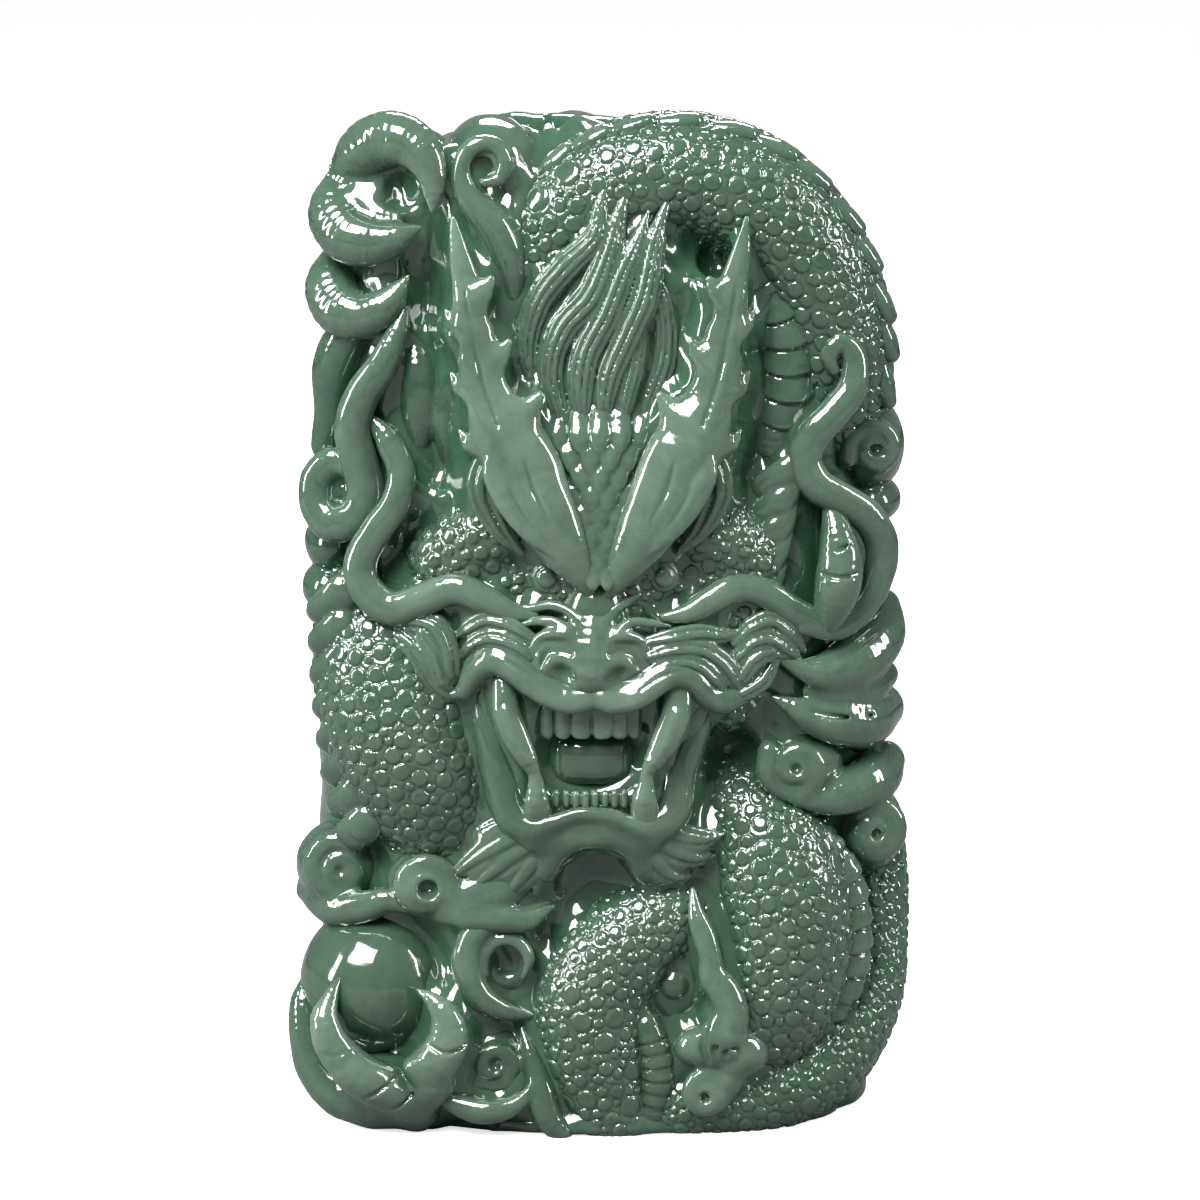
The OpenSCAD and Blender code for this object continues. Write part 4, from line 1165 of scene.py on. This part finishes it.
def scroll_ring():
    """A crescent scroll whose inner end hooks back on itself."""
    clay = Clay(seat=3)
    clay.ball((-6.8, -1.2, 12.4), (3.6, 3.4, 4.2))
    clay.strand([(-3.4, -4.4, 17, 0.25), (-5.3, -4.8, 16.1, 0.7), (-7.5, -5, 15.7, 0.85),
                 (-9.1, -5, 14.3, 1.0),
                 (-9.5, -5, 12.2, 1.1), (-8.6, -5, 10.1, 1.0), (-6.9, -4.9, 9.0, 0.75),
                 (-4.9, -4.6, 8.5, 0.2)],
                flat=0.95, blend=0.4)
    clay.strand([(-5.5, -4.9, 11.5, 0.25), (-5.1, -5, 12.8, 0.5), (-5.9, -5, 14, 0.6),
                 (-7.3, -5, 14.2, 0.6),
                 (-8.2, -4.9, 13, 0.55), (-8.2, -4.8, 11.8, 0.4)], blend=0.3)
    clay.pit((-6.7, -5, 12.4), (1.1, 1.4, 1.3), blend=0.5)
    return clay


def small_curl():
    """Small waves along the foot of the stone, with one curl."""
    clay = Clay(seat=3)
    clay.ball((-8, -2, 4.6), (4.6, 3.4, 3.6))
    clay.strand([(-12.8, -5.2, 3.6, 0.2), (-10.8, -6, 2.6, 0.7), (-8.4, -6.6, 2.0, 0.95),
                 (-6.2, -6.6, 2.4, 0.7),
                 (-4.8, -6.2, 3.8, 0.2)], flat=0.85, blend=0.5)
    clay.strand(curl((-7.6, -5, 5), 230, 1.25, 1.7, 0.5, 0.7, rise=0.3), flat=0.85, blend=0.35)
    clay.pit((-7.5, -5.9, 5), (0.4, 0.8, 0.4), blend=0.3)
    clay.strand([(-5.6, -4.6, 7.6, 0.2), (-4.9, -5.2, 5.6, 0.7), (-4.3, -5.6, 3.6, 1.0),
                 (-3.8, -5.8, 1.6, 1.1),
                 (-2.8, -5.8, 0.2, 0.8)], blend=0.5)
    return clay


def ruyi_cloud():
    """A trefoil cloud head on a rippling stem."""
    clay = Clay(seat=0)
    clay.strand([(6.6, -5.4, 18, 0.2), (6.8, -5.9, 16.4, 0.6), (7.3, -6.2, 15, 0.85),
                 (7.8, -6.4, 13.4, 0.85),
                 (8.0, -6.5, 12, 1.0), (8.8, -6.6, 10.8, 1.2), (9.3, -6.6, 9.4, 1.35),
                 (8.9, -6.5, 7.9, 1.6)],
                flat=0.8, blend=0.5)
    clay.strand([(7.9, -6.4, 11.8, 0.7), (7.2, -6.3, 10.8, 0.2)], blend=0.4)
    clay.ball((8.7, -5.4, 6.6), (2.9, 1.8, 1.8), blend=0.9)
    clay.ball((6.7, -5.2, 6.5), (1.5, 1.6, 1.3), blend=0.8)
    clay.ball((10.5, -5.4, 6.0), (1.6, 1.7, 1.6), blend=0.8)
    clay.groove(curl((9.2, -7.25, 6.4), 80, 1.35, 1.25, 0.25, 0.2, thin=0.6, count=14), blend=0.25)
    clay.groove([(7.6, -7.2, 8.4, 0.1), (7.3, -7, 7.0, 0.2), (7.7, -6.8, 5.6, 0.12)], blend=0.3)
    clay.strand([(9.6, -5.6, 5, 1.1), (9.2, -5.6, 3.9, 1.0), (8.4, -5.6, 3.2, 1.0)], blend=0.8)
    clay.ball((7.6, -4.8, 3.0), (2.1, 1.9, 1.9), blend=0.7)
    clay.strand(curl((7.6, -6.0, 3.1), 40, 1.2, 1.5, 0.6, 0.65, rise=0.3), flat=0.85, blend=0.5)
    clay.pit((7.5, -7, 3.0), (0.4, 0.9, 0.4), blend=0.25)
    return clay


def pearl():
    """The polished pearl at the lower left."""
    clay = Clay(seat=5)
    clay.ball((-16.1, -0.8, 10.3), 5.5)
    return clay


def pearl_claw():
    """Hooked talons that rise from a broad palm to hold the pearl."""
    clay = Clay(seat=5)
    clay.strand([(-18.5, -5.4, 11.6, 0.15), (-19.2, -6.1, 10.2, 0.6), (-19.6, -6.6, 8.7, 1.05),
                 (-19.1, -6.9, 7.1, 1.3),
                 (-18.3, -6.9, 6.1, 1.3)], flat=0.85, blend=0.2)
    clay.strand([(-18.5, -6.7, 6.1, 1.35), (-17.3, -6.9, 4.9, 1.6), (-15.8, -6.5, 3.9, 1.7),
                 (-14.2, -5.6, 2.7, 1.6),
                 (-12.8, -4.4, 1.6, 1.3)], blend=0.35)
    clay.strand([(-13.0, -6.4, 10.9, 0.15), (-11.9, -6.8, 10.2, 0.6), (-10.9, -7, 8.9, 1.15),
                 (-10.8, -7, 7.3, 1.5),
                 (-11.6, -6.9, 5.9, 1.55), (-13.0, -6.6, 5.2, 1.1)], flat=0.85, blend=0.2)
    clay.strand([(-11.6, -6.4, 5.6, 1.5), (-11.9, -6, 4.2, 1.7), (-12.6, -5.2, 2.8, 1.6),
                 (-13.2, -4.4, 1.4, 1.4)], blend=0.6)
    clay.ball((-15, -3.6, 2.8), (4.4, 2.8, 2.8), blend=0.7)
    clay.strand([(-20.9, -1, 11, 0.25), (-21.3, -1.6, 8.8, 1.0), (-21.0, -2, 6.4, 1.4),
                 (-20.2, -2.4, 4.2, 1.7),
                 (-18.6, -3, 2.6, 1.9), (-16.4, -3.4, 1.8, 1.8)], blend=0.5)
    clay.groove([(-20.8, -7.2, 6.9, 0.16), (-19.3, -8.1, 6.4, 0.18), (-17.7, -8.1, 6.9, 0.16)])
    clay.groove([(-12.6, -7.6, 7.5, 0.14), (-10.9, -8.3, 6.7, 0.16), (-9.3, -7.4, 7.3, 0.14)])
    clay.groove([(-16.9, -8.2, 3.2, 0.14), (-15.3, -8, 4.2, 0.16), (-14.1, -7, 4.9, 0.12)])
    clay.groove([(-15.4, -7.6, 2, 0.14), (-13.9, -7.2, 3, 0.16), (-12.9, -6.6, 3.8, 0.12)])
    return clay


# --------------------------------------------------------------- the material
def jade(name, deep, middle, pale, roughness):
    """Polished jade whose colour carries painted light and shade: paler where it stands proud, darker
    in the recesses.
    """
    material = bpy.data.materials.new(name)
    material.use_nodes = True
    tree = material.node_tree
    shader = tree.nodes["Principled BSDF"]
    shader.inputs["Roughness"].default_value = roughness
    shader.inputs["IOR"].default_value = 1.66
    shader.inputs["Coat Weight"].default_value = 0.85
    shader.inputs["Coat Roughness"].default_value = 0.04
    shader.inputs["Subsurface Weight"].default_value = 0.35
    shader.inputs["Subsurface Radius"].default_value = (0.6, 1.0, 0.75)
    shader.inputs["Subsurface Scale"].default_value = 1.2 * MM_TO_M

    def node(kind, **values):
        made = tree.nodes.new(kind)
        for key, value in values.items():
            if key in made.inputs:
                made.inputs[key].default_value = value
            else:
                setattr(made, key, value)
        return made

    # Painted shade and light: the relief value darkens the colour in the recesses and lightens it where
    # the carving stands proud.
    relief = node("ShaderNodeAttribute", attribute_name="relief")
    place = node("ShaderNodeTexCoord")
    cloud = node("ShaderNodeTexNoise", Scale=140.0, Detail=5.0, Roughness=0.6)
    tree.links.new(place.outputs["Object"], cloud.inputs["Vector"])
    vein = node("ShaderNodeTexNoise", Scale=420.0, Detail=6.0, Roughness=0.65, Distortion=1.2)
    tree.links.new(place.outputs["Object"], vein.inputs["Vector"])
    # The cloud noise is the stone's own uneven tone; the relief added to it is painted shade.
    tone_and_shade = node("ShaderNodeMath", operation="MULTIPLY_ADD")
    tree.links.new(cloud.outputs["Fac"], tone_and_shade.inputs[0])
    tone_and_shade.inputs[1].default_value = 0.45
    tree.links.new(relief.outputs["Fac"], tone_and_shade.inputs[2])
    # The ramp runs from its first colour, painted shade for the recesses, to its last, painted light
    # for proud parts.
    ramp = node("ShaderNodeValToRGB")
    tree.links.new(tone_and_shade.outputs[0], ramp.inputs["Fac"])
    stops = ramp.color_ramp.elements
    stops[0].position = 0.32
    stops[0].color = (*deep, 1)
    stops[1].position = 1.0
    stops[1].color = (*pale, 1)
    center = stops.new(0.66)
    center.color = (*middle, 1)
    flecks = node("ShaderNodeValToRGB")
    tree.links.new(vein.outputs["Fac"], flecks.inputs["Fac"])
    flecks.color_ramp.elements[0].position = 0.35
    flecks.color_ramp.elements[0].color = (0.78, 0.8, 0.78, 1)
    flecks.color_ramp.elements[1].position = 0.7
    flecks.color_ramp.elements[1].color = (1.08, 1.06, 1.04, 1)
    colour = node("ShaderNodeMix", data_type="RGBA", blend_type="MULTIPLY")
    colour.inputs[0].default_value = 1.0
    tree.links.new(ramp.outputs["Color"], colour.inputs[6])
    tree.links.new(flecks.outputs["Color"], colour.inputs[7])
    tree.links.new(colour.outputs[2], shader.inputs["Base Color"])
    tool = node("ShaderNodeTexNoise", Scale=2600.0, Detail=3.0)
    tree.links.new(place.outputs["Object"], tool.inputs["Vector"])
    bump = node("ShaderNodeBump", Strength=0.12, Distance=0.00006)
    tree.links.new(tool.outputs["Fac"], bump.inputs["Height"])
    tree.links.new(bump.outputs["Normal"], shader.inputs["Normal"])
    return material


# ------------------------------------------------------------- build the lot
PIECES = {
    "stone_foot": stone_foot, "rear_cloud": rear_cloud, "top_scroll": top_scroll,
    "upper_claw": upper_claw, "body_arch": body_arch, "arch_spines": arch_spines,
    "arch_belly": arch_belly,
    "left_coil": left_coil, "left_coil_spines": left_coil_spines, "right_coil": right_coil,
    "right_coil_plates": right_coil_plates, "outer_coil": outer_coil, "low_coil": low_coil, "hip": hip,
    "mane": mane, "skull": skull, "left_horn": lambda: horn(1), "right_horn": lambda: horn(-1),
    "left_ear": lambda: ear(1), "right_ear": lambda: ear(-1), "forehead": forehead,
    "left_cheek": lambda: cheek(1), "right_cheek": lambda: cheek(-1),
    "left_eye": lambda: eye(-3.7, 40.6),
    "right_eye": lambda: eye(4.5, 40.7), "muzzle": muzzle, "nose": nose, "upper_lip": upper_lip,
    "left_moustache": left_moustache, "right_moustache": right_moustache, "upper_teeth": upper_teeth,
    "lower_teeth": lower_teeth, "tongue": tongue, "left_fang": left_fang, "right_fang": right_fang,
    "lower_jaw": lower_jaw, "left_beard": left_beard, "right_beard": right_beard,
    "left_whisker": left_whisker,
    "left_curl_ribbon": left_curl_ribbon, "right_whisker": right_whisker, "cheek_spikes": cheek_spikes,
    "bud_talon": bud_talon, "upper_right_cloud": upper_right_cloud, "right_cloud": right_cloud,
    "right_scroll": right_scroll, "left_edge_cloud": left_edge_cloud, "left_low_cloud": left_low_cloud,
    "beard_curl": beard_curl, "scroll_ring": scroll_ring, "small_curl": small_curl,
    "ruyi_cloud": ruyi_cloud,
    "pearl": pearl, "pearl_claw": pearl_claw,
}


def relief_map(skins, pitch=0.4, reach=7):
    """Front depth of the whole carving, locally averaged, as a lookup."""
    every = np.vstack([points for points, _ in skins.values()])
    low = every[:, (0, 2)].min(0) - 3
    size = np.ceil((every[:, (0, 2)].max(0) + 3 - low) / pitch).astype(int) + 1
    depth = np.full(size, 12.0)
    place = ((every[:, (0, 2)] - low) / pitch).astype(int)
    np.minimum.at(depth, (place[:, 0], place[:, 1]), every[:, 1])
    known = (depth < 4.0).astype(float)
    depth = depth * known
    weights = np.exp(-np.linspace(-2, 2, 2 * reach + 1) ** 2)
    weights /= weights.sum()

    def soften(row):
        return np.convolve(np.pad(row, reach, mode="edge"), weights, "valid")

    for axis in (0, 1):
        depth = np.apply_along_axis(soften, axis, depth)
        known = np.apply_along_axis(soften, axis, known)
    depth = depth / np.maximum(known, 1e-3)

    def at(x, z):
        u = np.clip((x - low[0]) / pitch - 0.5, 0, size[0] - 1.001)
        w = np.clip((z - low[1]) / pitch - 0.5, 0, size[1] - 1.001)
        i, k = u.astype(int), w.astype(int)
        u, w = u - i, w - k
        return ((1 - u) * (1 - w) * depth[i, k] + u * (1 - w) * depth[i + 1, k]
                + (1 - u) * w * depth[i, k + 1] + u * w * depth[i + 1, k + 1])

    return at


def relief_shade_of(points, ground):
    """How far each point stands in front of its surroundings, 0 to 1, and less the further back it
    lies: the value that paints shade and light into the jade colour.
    """
    proud = ground(points[:, 0], points[:, 2]) - points[:, 1]
    return np.clip(0.34 + 0.14 * proud - 0.03 * (points[:, 1] + 4.5), 0.0, 1.0)


def make_piece(name, points, quads, relief, material):
    """Makes one mesh of quads, with its relief value for the painted shade, and puts it in the frame.
    """
    mesh = bpy.data.meshes.new(name)
    mesh.vertices.add(len(points))
    mesh.vertices.foreach_set("co", (points * MM).astype(np.float32).ravel())
    mesh.loops.add(quads.size)
    mesh.loops.foreach_set("vertex_index", quads.astype(np.int32).ravel())
    mesh.polygons.add(len(quads))
    mesh.polygons.foreach_set("loop_start", np.arange(0, quads.size, 4, dtype=np.int32))
    mesh.polygons.foreach_set("use_smooth", np.ones(len(quads), bool))
    mesh.update(calc_edges=True)
    mesh.validate()
    # The relief attribute drives the painted shade and light in the jade colour.
    mesh.attributes.new("relief", "FLOAT", "POINT").data.foreach_set("value", relief.astype(np.float32))
    mesh.materials.append(material)
    piece = bpy.data.objects.new("carved_" + name, mesh)
    bpy.context.scene.collection.objects.link(piece)
    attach(piece, "root")
    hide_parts(name)
    return piece


def carve():
    """Skins every element, then the stone, which follows their relief."""
    with ThreadPoolExecutor(4) as pool:
        jobs = {name: pool.submit(lambda make=make: make().skin()) for name, make in PIECES.items()}
        skins = {name: job.result() for name, job in jobs.items()}
    ground = relief_map(skins)
    skins["stone_core"] = stone_core(ground).skin()
    return skins, ground


skins, ground = carve()
# Three copies of one jade with painted light and shade: jade_raised, for proud pieces, is the lightest,
# and jade_deep, for pieces lying further back, is the darkest.
MATERIALS = {
    "jade_raised": jade("jade_raised", (0.037, 0.09, 0.058), (0.074, 0.128, 0.091),
                        (0.172, 0.248, 0.195), 0.1),
    "jade_middle": jade("jade_middle", (0.03, 0.082, 0.05), (0.052, 0.097, 0.065), (0.13, 0.195, 0.148),
                        0.1),
    "jade_deep": jade("jade_deep", (0.03, 0.09, 0.052), (0.044, 0.095, 0.06), (0.108, 0.168, 0.122),
                      0.1),
}
slots = {part["node"]: part["material_slot"] for part in frame["record"]["subparts"]}
for name, (points, quads) in skins.items():
    make_piece(name, points, quads, relief_shade_of(points, ground), MATERIALS[slots[name]])

# -------------------------------------------------------- floor, light, camera
scene = bpy.context.scene
middle_z = 0.5 * (cad_low[2] + cad_high[2])
FLOOR_HALF = 3
AIM_RISE = 0.0014


def make_floor():
    """A white floor to the camera; a dim one in the stone's reflections."""
    floor_mesh = bpy.data.meshes.new("floor")
    floor_mesh.from_pydata([(x * FLOOR_HALF, y * FLOOR_HALF, 0) for x,
                            y in ((-1, -1), (1, -1), (1, 1), (-1, 1))], [], [(0, 1, 2, 3)])
    floor_paint = bpy.data.materials.new("floor_paint")
    floor_paint.use_nodes = True
    paint = floor_paint.node_tree
    white = paint.nodes["Principled BSDF"]
    white.inputs["Base Color"].default_value = (0.92, 0.92, 0.92, 1)
    white.inputs["Roughness"].default_value = 0.6
    white.inputs["Emission Color"].default_value = (1, 1, 1, 1)
    white.inputs["Emission Strength"].default_value = 0.72
    dim = paint.nodes.new("ShaderNodeBsdfDiffuse")
    dim.inputs["Color"].default_value = (0.16, 0.16, 0.16, 1)
    ray = paint.nodes.new("ShaderNodeLightPath")
    pick = paint.nodes.new("ShaderNodeMixShader")
    paint.links.new(ray.outputs["Is Camera Ray"], pick.inputs["Fac"])
    paint.links.new(dim.outputs["BSDF"], pick.inputs[1])
    paint.links.new(white.outputs["BSDF"], pick.inputs[2])
    paint.links.new(pick.outputs["Shader"], paint.nodes["Material Output"].inputs["Surface"])
    floor_mesh.materials.append(floor_paint)
    floor = bpy.data.objects.new("floor", floor_mesh)
    scene.collection.objects.link(floor)


def make_studio():
    """An even white backdrop that lights the stone only a little."""
    world = bpy.data.worlds.new("studio")
    world.use_nodes = True
    sky = world.node_tree
    seen = sky.nodes.new("ShaderNodeLightPath")
    glow = sky.nodes.new("ShaderNodeMapRange")
    glow.inputs["To Min"].default_value = 0.25
    glow.inputs["To Max"].default_value = 1.0
    sky.links.new(seen.outputs["Is Camera Ray"], glow.inputs["Value"])
    sky.links.new(glow.outputs["Result"], sky.nodes["Background"].inputs["Strength"])
    sky.nodes["Background"].inputs["Color"].default_value = (1, 1, 1, 1)
    scene.world = world
    scene.view_settings.view_transform = "Standard"


def softbox(name, place, size, power):
    """A rectangular lamp that faces the carving; place in carving heights."""
    lamp = bpy.data.lights.new(name, "AREA")
    lamp.shape = "RECTANGLE"
    height = cad_high[2]
    lamp.size, lamp.size_y = size[0] * height, size[1] * height
    lamp.energy = power
    holder = bpy.data.objects.new(name, lamp)
    holder.location = Vector(place) * height
    aim = Vector((0, 0, middle_z)) - holder.location
    holder.rotation_euler = aim.to_track_quat("-Z", "Y").to_euler()
    scene.collection.objects.link(holder)


make_floor()
make_studio()
softbox("key_high", (-2.1, -3.8, 5.5), (3.4, 3.4), 4.4)
softbox("strip_left", (-5.4, -1.8, 2.4), (0.9, 3.6), 1.5)
softbox("strip_right", (5.4, -1.6, 2.8), (0.9, 3.6), 1.3)
softbox("top_back", (0.5, 3.2, 4.6), (3.0, 1.2), 1.6)

CAMERA_RISE = math.radians(10)
CAMERA_REACH = 0.4
FRAME_WIDTH = 0.0857
def make_camera():
    """A long lens, aimed a little above the middle of the stone."""
    lens = bpy.data.cameras.new("camera")
    lens.sensor_width = 36.0
    lens.lens = lens.sensor_width * CAMERA_REACH / FRAME_WIDTH
    camera = bpy.data.objects.new("camera", lens)
    aim_at = Vector((0, 0, middle_z + AIM_RISE))
    camera.location = aim_at + Vector((0, -CAMERA_REACH * math.cos(CAMERA_RISE),
                                       CAMERA_REACH * math.sin(CAMERA_RISE)))
    camera.rotation_euler = (math.pi / 2 - CAMERA_RISE, 0, 0)
    scene.collection.objects.link(camera)
    scene.camera = camera


make_camera()
